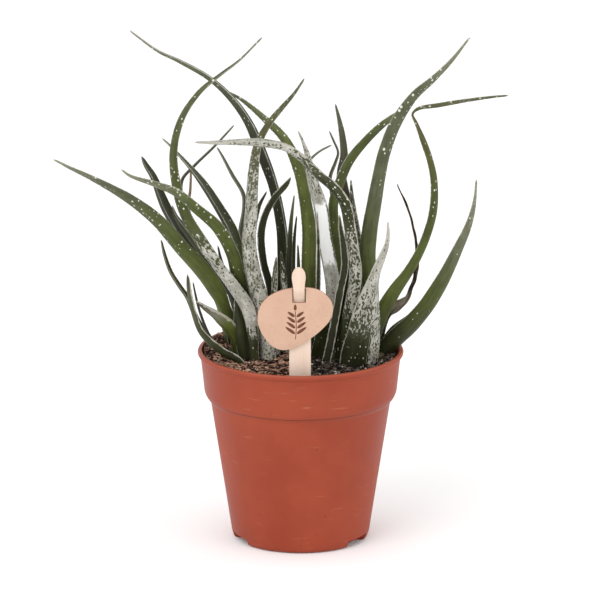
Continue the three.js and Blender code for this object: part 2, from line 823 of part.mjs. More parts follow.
// Label board and its stick
function boardSolid() {
  const places = BOARD_OUTLINE.map(([across, up]) => sight(across, up, LABEL_DEPTH));
  const curve = new THREE.CatmullRomCurve3(places, true, "centripetal");
  const outline = curve.getPoints(40).slice(0, -1).map(({ x, z }) => [x, z]);
  const board = solidFrom(extruded(outline, BOARD_THICKNESS, LABEL_DEPTH - BOARD_THICKNESS / 2));
  const [left, right, bottom, top] = SLOT;
  const low = sight(left, bottom, LABEL_DEPTH);
  const high = sight(right, top, LABEL_DEPTH);
  const slot = [[low.x, low.z], [high.x, low.z], [high.x, high.z], [low.x, high.z]];
  return board.subtract(solidFrom(extruded(slot, BOARD_THICKNESS + 4, LABEL_DEPTH - 3)));
}

// The stick stands behind the board and its top comes forward through the slot
function stickSolid(extra = 0) {
  const slotLow = sight(0, SLOT[2], LABEL_DEPTH).z;
  const slotHigh = sight(0, SLOT[3], LABEL_DEPTH).z;
  const rows = STICK_EDGES.map(([left, right, up]) => {
    const low = sight(left, up, LABEL_DEPTH);
    const high = sight(right, up, LABEL_DEPTH);
    return [low.x, high.x, low.z];
  });
  const [left, right] = rows[0];
  rows.unshift([left + 4, right - 4, STICK_BOTTOM - extra], [left, right, STICK_BOTTOM + 6]);
  const points = [];
  for (const [low, high, up] of rows) {
    const rise = THREE.MathUtils.smoothstep(up, slotLow, slotHigh);
    const middle = LABEL_DEPTH + STICK_BEHIND * (1 - 2 * rise);
    const front = middle - STICK_THICKNESS / 2 - extra;
    const back = middle + STICK_THICKNESS / 2 + extra;
    points.push([low - extra, front, up], [high + extra, front, up]);
    points.push([high + extra, back, up], [low - extra, back, up]);
  }
  const triangles = [[0, 2, 1], [0, 3, 2]];
  for (let row = 0; row < rows.length - 1; row += 1) {
    for (let side = 0; side < 4; side += 1) {
      const here = row * 4 + side;
      const next = row * 4 + ((side + 1) % 4);
      triangles.push([here, next, next + 4], [here, next + 4, here + 4]);
    }
  }
  const top = (rows.length - 1) * 4;
  triangles.push([top, top + 1, top + 2], [top, top + 2, top + 3]);
  const geometry = new THREE.BufferGeometry();
  geometry.setFromPoints(points.map((point) => new THREE.Vector3(...point)));
  geometry.setIndex(triangles.flat());
  return solidFrom(geometry);
}

// Assembly
const plant = new THREE.Group();

function addMesh(name, solid, surface) {
  const mesh = new THREE.Mesh(geometryFrom(solid), surface);
  mesh.name = name;
  plant.add(mesh);
}

addMesh("pot", potSolid(), terracotta);

let soil = soilBody();
let keepClear = soil.translate([0, 0, GAP]);
for (const crown of Object.values(CROWNS)) {
  soil = soil.subtract(crownHole(crown));
  keepClear = keepClear.add(crownSolid(crown, GAP));
}
addMesh("soil", soil.subtract(stickSolid(GAP)).simplify(FINEST_EDGE), peat);
addMesh("label_stick", stickSolid(), paleWood);
addMesh("label_board", boardSolid(), boardBrown);

const standing = [];
for (const [shoot, crown] of Object.entries(CROWNS)) {
  addMesh(`${shoot}_crown`, crownSolid(crown, 0), stemGreen);
  LEAVES[shoot].forEach((leaf, i) => {
    const whole = leafSolid(leaf);
    let solid = whole.subtract(keepClear);
    for (const neighbour of standing) {
      const shared = whole.intersect(neighbour).volume();
      if (shared > SMALLEST_CUT) solid = solid.subtract(neighbour);
    }
    standing.push(leafSolid(leaf, GAP).add(whole));
    const surface = leaf.dry ? dryLeaf : leafGreen;
    addMesh(`${shoot}_leaf_${i + 1}`, largestBody(solid).simplify(FINEST_EDGE), surface);
  });
}

export default plant;
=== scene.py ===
"""A potted maidu aloe: five crowded shoots of slender, toothed, white-flecked leaves in peat,
in a round terracotta-coloured nursery pot with a plain plant label. Tables are in millimetres."""

import math
import random

import bmesh
import bpy
import numpy as np
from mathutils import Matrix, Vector, noise


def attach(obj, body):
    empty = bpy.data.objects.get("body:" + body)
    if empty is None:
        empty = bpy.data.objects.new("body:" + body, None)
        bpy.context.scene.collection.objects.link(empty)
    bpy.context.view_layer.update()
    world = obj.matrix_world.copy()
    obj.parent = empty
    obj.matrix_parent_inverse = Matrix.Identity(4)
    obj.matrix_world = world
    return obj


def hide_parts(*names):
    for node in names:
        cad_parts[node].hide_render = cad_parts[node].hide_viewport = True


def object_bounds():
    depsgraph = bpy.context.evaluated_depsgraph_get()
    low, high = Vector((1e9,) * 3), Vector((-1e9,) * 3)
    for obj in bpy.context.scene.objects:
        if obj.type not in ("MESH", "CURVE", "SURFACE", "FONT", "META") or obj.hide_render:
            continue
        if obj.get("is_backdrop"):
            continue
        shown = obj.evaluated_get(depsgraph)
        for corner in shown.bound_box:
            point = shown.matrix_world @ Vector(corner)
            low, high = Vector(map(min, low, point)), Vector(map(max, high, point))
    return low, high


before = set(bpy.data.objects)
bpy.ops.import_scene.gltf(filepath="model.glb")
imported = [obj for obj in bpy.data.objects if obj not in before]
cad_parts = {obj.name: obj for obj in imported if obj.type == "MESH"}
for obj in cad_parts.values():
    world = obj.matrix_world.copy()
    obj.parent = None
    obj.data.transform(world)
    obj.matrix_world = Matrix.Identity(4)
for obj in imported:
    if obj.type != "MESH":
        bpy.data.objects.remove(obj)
cad_low, cad_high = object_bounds()
scene = bpy.context.scene
scene.view_settings.view_transform = "Standard"

MM = 0.001
EYE = np.array([-0.35, -3379.15, 1053.77])
AIM = np.array([-0.35, 0.0, 142.0])
LENS = 361.9

# Leaf section: shares of the width across and of the thickness up
LEAF_THICKNESS = 0.5
LEAF_THICKEST = 4.6
LEAF_THINNEST = 0.95
MARGIN_LIFT = 0.45
CHANNEL_DIP = 0.25
KEEL_DROP = 0.5
KEEL_POWER = 2.6
LEAF_SECTION = [
    (0.5, MARGIN_LIFT), (0, 0.2), (-0.5, MARGIN_LIFT), (-0.3, -0.25), (0, -0.5), (0.3, -0.25),
]
UPPER = [1, 0.94, 0.8, 0.55, 0.3, 0, -0.3, -0.55, -0.8, -0.94, -1]
LOWER = [-0.97, -0.87, -0.68, -0.45, -0.32, -0.2, 0.2, 0.45, 0.68, 0.87, 0.97]
SECTION = [(s, True) for s in UPPER] + [(s, False) for s in LOWER]
CREASE = -0.32
CREASE_SHARE = 0.42
DEPTH_CURVE = 1.5
RING_SPACING = 1.5
DRY_SPREAD = 1.25
DRY_WAVE = 0.5
SEED_STEP = 11.0

# Teeth on the margins: where they start and end, their spacing and their reach
FIRST_TOOTH = 8.0
LAST_TOOTH_SHARE = 0.93
TOOTH_SPACING = (2.6, 4.4)
TOOTH_REACH = (0.35, 0.6)
MISSING_TEETH = 0.1
NARROWEST_TOOTHED = 2.6
TOOTH_FOOT = [(-0.42, -0.3, -0.12), (0, -0.3, 0.04), (0.42, -0.3, -0.12), (0, -0.3, -0.28)]
TOOTH_FACES = [(0, 1, 4), (1, 2, 4), (2, 3, 4), (3, 0, 4), (0, 3, 2), (0, 2, 1)]

# Leaves, root to tip, as in the CAD source: depth behind the pot's axis at root and tip, turn
# of the channelled face from the front at both, and readings of across, up and seen width
LEAVES = {"left": [
    (-4, -52, 150, 118, [(-35, 104, 5), (-38, 117, 5.4), (-41, 128, 5.2), (-44.4, 138.5, 7),
     (-49.6, 149.6, 10.3), (-58, 161.5, 10.2), (-68, 172.5, 9.3), (-83, 190, 7.8), (-99.5, 203, 5.6),
     (-120.6, 215, 3.2), (-133, 221, 1.9), (-142.5, 226, 1)]),
    (9, 40, 60, 60, [(-34, 108, 5), (-38, 122, 6), (-46, 143, 6), (-60, 166, 6), (-70, 183, 6),
     (-77, 196, 6), (-80, 203, 5.5), (-85, 216, 4), (-89, 222.5, 3), (-91.6, 227.8, 1.4)]),
    (2, 12, 70, 80, [(-33, 107, 5), (-34, 122, 5.5), (-36, 137, 5.5), (-42, 150, 5), (-52, 164, 5),
     (-62, 178, 4.6), (-68, 186, 3.8), (-72, 192, 2.4), (-74.3, 198.7, 1)]),
    (-8, 30, 70, 60, [(-41, 105, 3), (-46, 111.5, 3.4), (-54.5, 120.5, 3.2), (-61, 132.5, 3),
     (-65.8, 144, 2.6), (-70.3, 150.7, 2.5), (-75.2, 159, 2.4), (-78.7, 169.2, 2), (-80.7, 178.2, 1)]),
    (-21, -38, 130, 120, [(-34, 103, 4.5), (-37.5, 106.6, 4.5), (-43.5, 109.8, 4.6), (-51, 115.5, 4.4),
     (-57.7, 123, 3.6), (-61.3, 132.2, 3.2), (-63.6, 141.5, 3), (-64.8, 150, 2.6), (-65.3, 157.3, 1.5)]),
    (-13, -4, 100, 100, [(-43, 105, 2), (-47, 112, 2), (-53.4, 121.5, 1.8), (-58.1, 133.8, 1.6),
     (-60.3, 142, 1.4), (-62.4, 152.8, 0.8)]),
    (-8, -34, 150, 130, [(-33, 106, 5), (-37, 117, 6.4), (-41, 125.5, 7.4), (-45, 129.6, 7),
     (-50, 133.8, 5), (-55.3, 137.3, 3.4), (-60.5, 141.5, 1.2)]),
    (-14, -17, 165, 150, [(-31, 102, 7.5), (-32.4, 110, 8.2), (-34.4, 120, 8.4), (-35.7, 130, 6.2),
     (-37.2, 138.5, 2.8), (-38, 143, 0.9)]),
    (14, 28, 40, 50, [(-33, 110, 3), (-36, 128, 3), (-41, 146, 3), (-45.2, 162, 2.4), (-46.6, 168, 1.7),
     (-47.9, 174.6, 0.8)]),
    (20, 66, 60, 50, [(-31, 112, 4), (-34, 140, 4.5), (-46, 161, 4.5), (-56, 176, 4.3), (-65, 191, 3.6),
     (-69, 204, 2.6), (-68.3, 214, 2), (-61.5, 222, 1.8), (-49.4, 234, 1.5), (-38.3, 246.3, 0.8)]),
    (7, 50, 55, 65, [(-26, 109, 6.5), (-30, 135, 7), (-34.5, 163, 7), (-39, 182, 6.6), (-48, 199, 5.6),
     (-57, 213, 4.4), (-64.4, 222.3, 2.6), (-74.4, 233.4, 1.4), (-79.7, 238.5, 0.8)]),
    (26, 60, 45, 45, [(-29, 113, 3), (-32, 135, 3.2), (-44, 158, 3.2), (-57, 180, 3), (-65, 196, 2.2),
     (-63.8, 207, 1.7), (-63.4, 215, 1.4), (-63.3, 223, 0.8)]),
    (16, 78, 60, 60, [(-39, 110, 7), (-42, 125, 7.4), (-47, 143, 7), (-58, 161, 6.4), (-72, 178, 5),
     (-88, 193, 3.2), (-104, 204.5, 1)]),
], "inner_left": [
    (-19, -32, 150, 75, [(-26.3, 101, 5), (-27, 112, 5.4), (-28, 124, 6.6), (-30.6, 137, 8.2),
     (-38, 149, 7.6), (-47, 161.5, 6.6), (-56, 175, 7), (-66, 192, 6), (-71, 208, 5.4), (-73.2, 230, 4.5),
     (-68.5, 250, 3.8), (-58, 266, 3), (-46.5, 275.8, 2), (-35, 284.7, 1.3), (-22, 298, 0.9)]),
    (-4, -58, 155, 125, [(-23, 105, 7), (-25, 120, 7.5), (-30, 140, 7.5), (-36, 156, 8), (-39.5, 170, 7.5),
     (-48, 185.5, 7), (-60, 196.5, 6), (-72, 206.5, 5), (-83.7, 211.2, 3.5), (-98.4, 216.3, 1.8),
     (-103.3, 220, 1)]),
    (-15, -42, 165, 140, [(-18.6, 104, 9), (-19.4, 120, 9.6), (-23, 140, 10.3), (-27, 156, 9.5),
     (-29.8, 175, 7.9), (-28.5, 195, 7.2), (-27, 220, 6), (-24.5, 235, 4.6), (-18, 247.5, 3.6),
     (-10, 257.4, 2.9), (-4, 264.5, 2), (2.2, 273.7, 1)]),
    (3, 4, 10, 17, [(-13, 108, 4.5), (-15, 130, 4.6), (-18, 151, 4.5), (-21.5, 165, 4.3), (-22.8, 182, 4.3),
     (-20, 194, 4), (-14.5, 203.8, 3.8), (-8.5, 210.8, 3.2), (-5.6, 215.3, 1.2)]),
    (9, 62, -45, -60, [(-9, 109, 7), (-10, 135, 7), (-10, 165, 6.8), (-11, 185, 6.3), (-15.7, 210, 5.8),
     (-23, 231, 6.3), (-30.2, 248, 5), (-39.5, 261.6, 4), (-52.2, 273.7, 3.2), (-69.7, 284, 2.4),
     (-82, 290, 1.7), (-98, 302, 0.9)]),
    (14, 58, 40, 60, [(-23, 110, 4), (-27, 140, 4.4), (-31, 160, 4.4), (-33.5, 175, 4.4), (-34, 184, 4),
     (-32.5, 195, 3.2), (-33, 205, 2.4), (-39.5, 217, 2.1), (-45.3, 228.3, 1.5), (-48.2, 233.3, 0.9)]),
    (19, 64, 25, 17, [(-19, 112, 5), (-23, 140, 5), (-28, 165, 4.6), (-27.5, 183, 3.6), (-24, 198, 2.4),
     (-19.5, 207, 0.9)]),
    (-3, -20, 170, 170, [(-13, 103, 3.8), (-15, 125, 3.8), (-15.3, 148, 3.7), (-14.8, 158, 3),
     (-14.1, 168, 0.9)]),
    (-2, -16, 170, 170, [(-8, 104, 3.8), (-8.8, 130, 3.9), (-9.6, 152, 3.8), (-10.5, 163, 2.6),
     (-11.5, 171, 0.9)]),
    (28, 88, 20, 15, [(-20, 113, 7), (-24, 140, 7.4), (-28.5, 165, 6.4), (-28.6, 190, 5), (-27.4, 210, 3.2),
     (-25, 229, 1)]),
], "middle": [
    (0, 52, 165, 150, [(4, 106, 8), (4.5, 130, 8.4), (4.7, 165, 8.3), (4.8, 185, 8), (2.8, 201, 7.4),
     (-0.7, 219, 6.8), (-8.8, 237.4, 5.4), (-20.4, 249.8, 3.8), (-34.9, 262, 2), (-44, 267, 0.9)]),
    (1, -30, 175, 170, [(-5, 106, 3.5), (-6, 130, 3.6), (-6.8, 155, 3.6), (-6.3, 176, 3), (-5.4, 190, 2.2),
     (-3.7, 204.8, 0.9)]),
    (7, 20, 10, 20, [(-2.5, 108, 2.6), (-3.5, 140, 2.6), (-4.2, 163, 2.5), (-3.5, 180, 1.9),
     (-2.3, 192.4, 0.9)]),
    (-7, -22, 180, 180, [(0, 103, 2.4), (-0.6, 135, 2.4), (-1.1, 160, 2.2), (-1.6, 175.3, 0.9)]),
    (-4, -10, 0, 0, [(9.5, 104, 3), (9.5, 130, 3), (10.3, 155, 2.8), (10.3, 175, 2.2), (9.5, 195, 0.9)]),
    (13, 46, -25, -63, [(2, 109, 5), (3, 140, 5.5), (4, 170, 5.5), (3, 195, 5), (1.5, 212, 4),
     (2.5, 221.5, 2.6), (6.4, 226.8, 1.6), (11.3, 231, 1.2), (18, 234.6, 0.8)]),
    (25, 84, -10, -10, [(6, 112, 7), (6, 140, 7.4), (5, 165, 6.6), (4.6, 183, 5), (3, 198, 3.2),
     (0.5, 213, 1)]),
], "inner_right": [
    (-11, -72, 140, 70, [(23, 103, 8.5), (26, 122, 8.5), (29.5, 140, 8), (32, 157, 8), (30.5, 172, 8),
     (28.5, 187, 8), (25.5, 200, 7.8), (19, 209.5, 7.5), (11, 216.5, 7.2), (2, 225.5, 6.5),
     (-8, 232.7, 5.6), (-23.3, 236, 4.6), (-38, 236.2, 3.3), (-50, 236, 2.2), (-61, 236.1, 0.9)]),
    (-9, 22, 25, 40, [(10, 104, 10), (14, 120, 10), (18.5, 134, 9.5), (19.3, 147, 9), (17, 163, 8.6),
     (14, 180, 8.4), (11.5, 198, 8), (7, 213, 6.6), (3.8, 229, 3.2), (1.3, 236.5, 1.8),
     (-1.4, 242.8, 0.9)]),
    (-17, -3, 0, -10, [(14, 101, 5), (16.5, 112, 5), (19.5, 128, 4.8), (23, 148, 4.6), (25.6, 162, 4.4),
     (24.8, 175, 4), (23.2, 185, 2.8), (22.5, 193, 1)]),
    (7, 46, -150, -140, [(22, 109, 6), (22, 135, 6), (22.5, 160, 5.8), (20, 183, 5.6), (19, 200, 5.6),
     (22.5, 212, 5.8), (28.1, 225, 5.6), (37.9, 237.5, 4.7), (48.9, 248.1, 3.7), (61, 257, 1.2)]),
    (14, 64, -30, -60, [(18, 110, 5), (20, 140, 5), (20, 165, 4.6), (19.3, 190, 4), (18.5, 205, 3.2),
     (17, 215, 2.2), (20, 224, 1.9), (21.6, 230, 1.5), (19, 237, 1.2), (16.5, 242.8, 0.8)]),
    (12, 75, -30, -30, [(27, 110, 6), (31, 135, 6), (31.5, 160, 6.4), (29, 184, 6.4), (26, 202, 6),
     (23.5, 217, 5.6), (25, 228, 4.6), (24, 239.8, 3.7), (22.3, 249, 2.6), (20, 258.7, 1)]),
    (7, 16, -45, -43, [(34, 109, 6), (36, 130, 6.2), (36, 150, 6), (34.5, 165, 5.6), (32.5, 182, 4.8),
     (30.5, 196, 3.6), (29.5, 206, 2.2), (29, 214, 1)]),
    (-1, 2, 0, 0, [(22, 104, 6), (24, 120, 6.4), (26, 135, 6), (27.8, 150, 5), (29, 160, 3.2),
     (29.4, 167, 1)]),
], "right": [
    (-8, -48, -145, -115, [(38, 100, 8), (39.5, 112, 8.4), (41, 128, 9), (40.5, 148, 10), (38.6, 168, 10.3),
     (40, 185, 9.8), (42.5, 200, 9), (45.1, 215.5, 8), (48.2, 230, 7.3), (54.8, 247.8, 6.6),
     (65.2, 263.6, 4.9), (75.5, 273, 3.7), (85.8, 283.5, 2.4), (97, 298, 1)]),
    (3, 31, -140, -110, [(40, 107, 8), (43.5, 124, 9), (48, 136, 9.4), (54.8, 148, 7.8), (62.3, 158.8, 6),
     (68, 169, 5.2), (72.4, 179.4, 4.9), (76.5, 194.8, 4.7), (77, 212.5, 4.2), (74.7, 224.9, 3.8),
     (71, 236, 3.4), (66.4, 247.7, 2), (64.3, 252.8, 1.4), (67.5, 256, 2), (79, 258.1, 2.6), (95.7, 261, 2),
     (112.9, 263.3, 1.3), (119.3, 263.8, 0.8)]),
    (-20, -42, -170, -150, [(33, 98, 21), (33.5, 108, 22), (35.6, 120, 19.5), (37, 130, 16.5),
     (38.6, 140, 12.6), (41, 150, 7.6), (44, 160, 5.2), (46.2, 165.5, 4.6), (48.2, 170.5, 3.8),
     (49.9, 175.5, 2.7), (50.6, 182, 1.9), (50.4, 189, 0.9)]),
    (0, -55, -145, -125, [(45, 104, 9), (49, 112.5, 10.5), (55.5, 119.7, 11), (64, 128, 10.8),
     (72.5, 138.2, 9.9), (79, 148.5, 9), (84.6, 158.8, 7.7), (91.7, 174.2, 5.8), (96.2, 184.5, 4.5),
     (99.3, 194.8, 3), (100.8, 204, 1.8), (101.4, 214, 0.9)]),
    (17, 80, -25, -45, [(40, 111, 7), (41, 130, 7.6), (39.5, 152, 7.2), (39, 170, 6.4), (41.5, 190, 5),
     (45, 210, 3.2), (48, 228, 1)]),
    (15, 66, -50, -60, [(47, 110, 6.4), (54, 122.5, 6.6), (67, 133, 6.4), (78, 148, 5.2), (87, 165, 3.8),
     (94.5, 182, 2.2), (99, 196, 1)]),
    (11, 30, -60, -60, [(42, 110, 3), (45, 125, 3), (50, 132.8, 3), (56, 136.8, 3), (60.5, 141.4, 2.8),
     (63.8, 148.5, 2.6), (66.5, 157, 2.4), (67.3, 168, 2.2), (66, 181, 1.8), (61.5, 198, 1.4),
     (55.4, 211.7, 0.8)]),
    (8, 12, -30, -50, [(45, 110, 4), (46.5, 124, 4.4), (49.8, 134, 5), (54.5, 138.3, 4.6), (59, 141.2, 3),
     (62, 144.4, 1.2)]),
]}


def linear(value):
    share = value / 255
    return share / 12.92 if share <= 0.04045 else ((share + 0.055) / 1.055) ** 2.4


def colour(red, green, blue):
    """A colour as seen, made linear."""
    return (linear(red), linear(green), linear(blue), 1.0)


# Skin colours. Deep and dark are partly the leaves' own dark green and partly painted shade
SKINS = {
    "deep": colour(36, 37, 20),
    "dark": colour(48, 52, 26),
    "mid": colour(70, 78, 34),
    "fresh": colour(86, 94, 42),
    "grey": colour(80, 84, 60),
    "pale": colour(128, 128, 108),
    "olive": colour(76, 74, 40),
    "brown": colour(60, 50, 36),
    "tan": colour(140, 122, 98),
    "ash": colour(122, 120, 104),
}


def look(tones, silver=0, dots=0.1, rims=0.2, flank=None):
    """How one leaf looks: skin colours, whose deep and dark tones are partly painted shade, silver
    scale with dark speckles, and white dots, each one value or values at shares of the length.
    Then the width of the pale margin, or of the two, and the silver on the side beyond the pale
    crease of a creased leaf."""
    return tones, silver, dots, rims, flank


# The leaves' looks in the order of LEAVES. A withered leaf has none. The deep and dark tones at the root
# end are painted shade of the crowded crown, and leaves lying in shadow are partly darkened by them as
# painted shade too
LOOKS = {"left": [
    look({0: "dark", 0.06: "mid", 0.2: "fresh", 0.5: "mid", 0.8: "grey", 1: "pale"},
         {0.5: 0, 0.66: 0.28, 0.8: 0.42, 1: 0.36},
         {0: 0, 0.35: 0.08, 0.5: 0.4, 0.6: 0.6}, 0.15),
    look({0: "dark", 0.4: "mid", 0.6: "deep", 1: "dark"}, 0, {0: 0.15, 1: 0.25}),
    look({0: "dark"}),
    look({0: "dark", 1: "olive"}, rims=0.15),
    look({0: "deep", 0.3: "dark", 0.8: "grey", 1: "brown"}, 0, 0.05, (0.5, 0.1)),
    look({0: "deep"}, 0, 0.02, 0.05),
    look({0: "mid", 0.5: "fresh", 0.7: "ash", 1: "brown"}, rims=(1.2, 0.15)),
    look({0: "deep", 0.5: "dark"}, 0, 0.05, (0.1, 1.4)),
    look({0: "dark", 1: "brown"}, 0, 0.05),
    look({0: "dark", 1: "grey"}),
    look({0: "dark", 0.3: "mid", 0.6: "dark", 1: "grey"}, 0, {0: 0.2, 1: 0.4}, (0.3, 0.4)),
    look({0: "brown", 1: "tan"}, 0, 0.05, 0.1),
    look({0: "dark", 0.2: "fresh", 0.6: "mid", 1: "grey"}),
], "inner_left": [
    look({0.1: "dark", 0.5: "mid", 1: "grey"},
         {0: 0, 0.06: 0.15, 0.12: 0.9, 0.26: 0.84, 0.34: 0.66, 0.42: 0.3, 0.6: 0.25, 1: 0.2},
         {0: 0.3, 0.4: 0.5, 1: 0.6}, (0.15, 0.6)),
    look({0: "deep", 0.25: "dark", 0.4: "mid", 0.7: "mid", 1: "pale"},
         {0.55: 0, 0.7: 0.3, 0.85: 0.4, 1: 0.3}, {0: 0.1, 0.5: 0.4, 1: 0.7}),
    look({0.6: "grey", 0.8: "olive", 1: "grey"},
         {0: 0.8, 0.15: 0.72, 0.5: 0.72, 0.65: 0.6, 0.75: 0.35, 1: 0.4}, 0.4),
    look({0: "deep", 1: "dark"}, rims=(0.8, 0.3)),
    look({0: "dark", 0.5: "deep", 0.8: "grey", 1: "ash"}, 0, {0: 0.15, 1: 0.5}, (0.1, 0.6)),
    look({0: "dark", 1: "grey"}),
    look({0: "deep", 1: "dark"}),
    look({0: "dark", 1: "grey"}, {0: 0.7, 1: 0.5}, 0.4),
    look({0: "dark"}, {0: 0.75, 0.8: 0.6, 1: 0.2}, 0.4),
    look({0: "deep", 1: "mid"}),
], "middle": [
    look({0: "dark", 0.3: "fresh", 0.6: "fresh", 1: "grey"}, {0.6: 0, 0.8: 0.32, 1: 0.4},
         {0: 0.1, 0.5: 0.3, 1: 0.6}, 0.15),
    look({0.7: "deep", 1: "grey"}, 0, 0.3, 0.15),
    look({0: "deep", 1: "dark"}, 0, 0.15),
    look({0: "deep", 1: "dark"}, 0, 0.3),
    look({0: "deep", 1: "dark"}, rims=0.7),
    look({0: "dark", 0.4: "mid", 0.7: "mid", 1: "grey"}, 0, 0.15, (0.2, 0.3)),
    look({0: "deep", 1: "mid"}),
], "inner_right": [
    look({0.5: "dark", 1: "grey"},
         {0: 0.2, 0.12: 0.3, 0.2: 0.7, 0.36: 0.66, 0.46: 0.25, 0.6: 0.3, 0.72: 0.74, 1: 0.86},
         {0: 0.4, 0.5: 0.6}, (0.6, 0.3)),
    look({0.2: "dark", 0.3: "grey"},
         {0: 0, 0.2: 0.05, 0.24: 0.84, 0.4: 0.88, 0.46: 1, 0.66: 1, 0.74: 0.74, 1: 0.8}, 0.3),
    look({0: "deep", 1: "dark"}, 0, 0.05, 0.8),
    look({0: "dark", 0.4: "mid", 0.8: "mid", 1: "grey"}, 0, {0: 0.15, 0.7: 0.3, 1: 0.5}),
    look({0: "deep", 0.6: "mid", 1: "brown"}),
    look({0: "deep", 0.6: "brown", 1: "grey"}, {0.7: 0.3, 1: 0.1}, 0.3),
    look({0: "deep", 1: "dark"}, {0: 0.4, 1: 0.5}, 0.4, (0.2, 0.3)),
    look({0: "deep"}, 0, 0.05, 0.15),
], "right": [
    look({0: "dark", 0.3: "mid", 0.5: "grey", 0.8: "grey", 1: "pale"},
         {0.58: 0, 0.7: 0.3, 0.8: 0.2, 1: 0.34},
         {0: 0.3, 0.25: 0.02, 0.45: 0.15, 0.6: 0.45, 0.75: 0.7}, 0.15),
    look({0: "dark", 0.1: "mid", 0.2: "fresh", 0.4: "mid", 0.7: "olive", 1: "grey"},
         {0.5: 0, 0.66: 0.34, 0.8: 0.42, 1: 0.3},
         {0: 0, 0.3: 0.1, 0.45: 0.4, 1: 0.5}, 0.15),
    look({0: "deep", 0.24: "dark", 1: "grey"},
         {0: 0, 0.16: 0.05, 0.26: 0.5, 0.4: 0.66, 0.6: 0.8, 1: 0.88}, 0.35, (0.15, 0.8), 0.74),
    look({0: "deep", 0.15: "dark", 0.4: "mid", 0.6: "grey", 1: "pale"},
         {0.6: 0, 0.78: 0.36, 1: 0.45}, {0: 0.1, 0.25: 0.35, 0.4: 0.15, 0.6: 0.3, 1: 0.6}),
    look({0: "dark", 1: "mid"}),
    look({0: "dark", 0.6: "mid", 1: "grey"}),
    None,
    None,
]}

# Pot profile outside from the underside up, and inside, as radius and height
POT_OUTSIDE = [
    (0, 0), (37.1, 0), (39.2, 0.9), (40.2, 3.5), (44.8, 33.6), (52.4, 82.5), (54.95, 85.7),
    (56, 88.4), (58.2, 109.3), (59.5, 109.9), (60, 111.3), (59.3, 112.6), (0, 112.6),
]
WALL = 1.3
ABOVE_POT = 113.5
POT_INSIDE = [
    (0, WALL), (37.1, 1.3), (38.9, 4.2), (43.5, 33.7), (51, 82.7), (53.7, 86.4), (54.7, 88.6),
    (56.9, 109.9), (57.6, 112.6), (57.8, ABOVE_POT), (0, ABOVE_POT),
]
POT_SIDES = 160
POT_ROUNDING = 0.7
# Height of the painted shadow line under the collar
COLLAR_SHADOW_HEIGHT = 85.1
# Height band of the painted highlight along the top of the lip
LIP_HIGHLIGHT = (111.4, 112.4)
NOTCH_ANGLES = [87, 205, 327.5]
NOTCH_SPREAD = 28
NOTCH_HEIGHT = 4.5
NOTCH_INNER = 33
NOTCH_OUTER = 47
DRAIN_MIDDLE = 36
DRAIN_LENGTH = 9
DRAIN_BREADTH = 3
CUT_REACH = 5

# Peat: its surface, and the side it has against the pot, as radius and height
SOIL_EDGE = 108.8
SOIL_MOUND = 1.4
SOIL_RISE = (-0.02, 0.04)
SOIL_CRUMB = 0.45
SOIL_RADIUS = 56.2
SOIL_BANK = 2.4
PEAT_SIDE = [(38.6, 4.5), (39.5, 8), (43.2, 33.7), (50.7, 82.7), (53.4, 86.5), (54.4, 88.7)]
PEAT_SIDES = 260
PEAT_RINGS = 88
SCATTER_RADIUS = 54.0
GRAIN_LIMIT = 55.5

# Crowns under the shoots: x, y and radius
CROWN_TOP = 112
CROWN_DEPTH = 32
CROWN_SCARS = 9
CROWNS = {
    "left": (-36, 1, 8.5),
    "inner_left": (-18, 3, 8.5),
    "middle": (1, 5, 8),
    "inner_right": (20, -2, 8.5),
    "right": (40, -4, 9),
}

# Label, as survey readings of across and up. The stick has left, right and up
LABEL_DEPTH = -50
BOARD_THICKNESS = 1.4
STICK_THICKNESS = 1.5
STICK_BEHIND = 2.1
STICK_BOTTOM = 81
STICK_POINT = (6, 4)
STICK_CORNER = 0.28
SLOT = (-4.7, 3, 140.5, 149)
BOARD_OUTLINE = [
    (-3, 149.5), (8, 149), (14, 146), (18, 141), (18.8, 136), (17, 130), (12, 124), (6, 119),
    (0, 115), (-6, 112.5), (-11, 112), (-16, 114), (-20, 118), (-23.5, 124), (-25, 130),
    (-24, 137), (-20, 143), (-13, 147.3),
]
STICK_EDGES = [
    (-6.6, 6, 96), (-6.6, 6, 118), (-6.6, 6, 134), (-5.8, 4.6, 137.5), (-4.2, 2.4, 140),
    (-4.2, 2.3, 149.4), (-4.6, 2.5, 152), (-5.2, 3, 156), (-4.7, 2.6, 159),
    (-3.3, 1.2, 161.4), (-1.7, -0.4, 162.1),
]
SPRIG_FOOT = (-3, 118.5)
SPRIG_STEP = 3.4
SPRIG_POINTS = 6


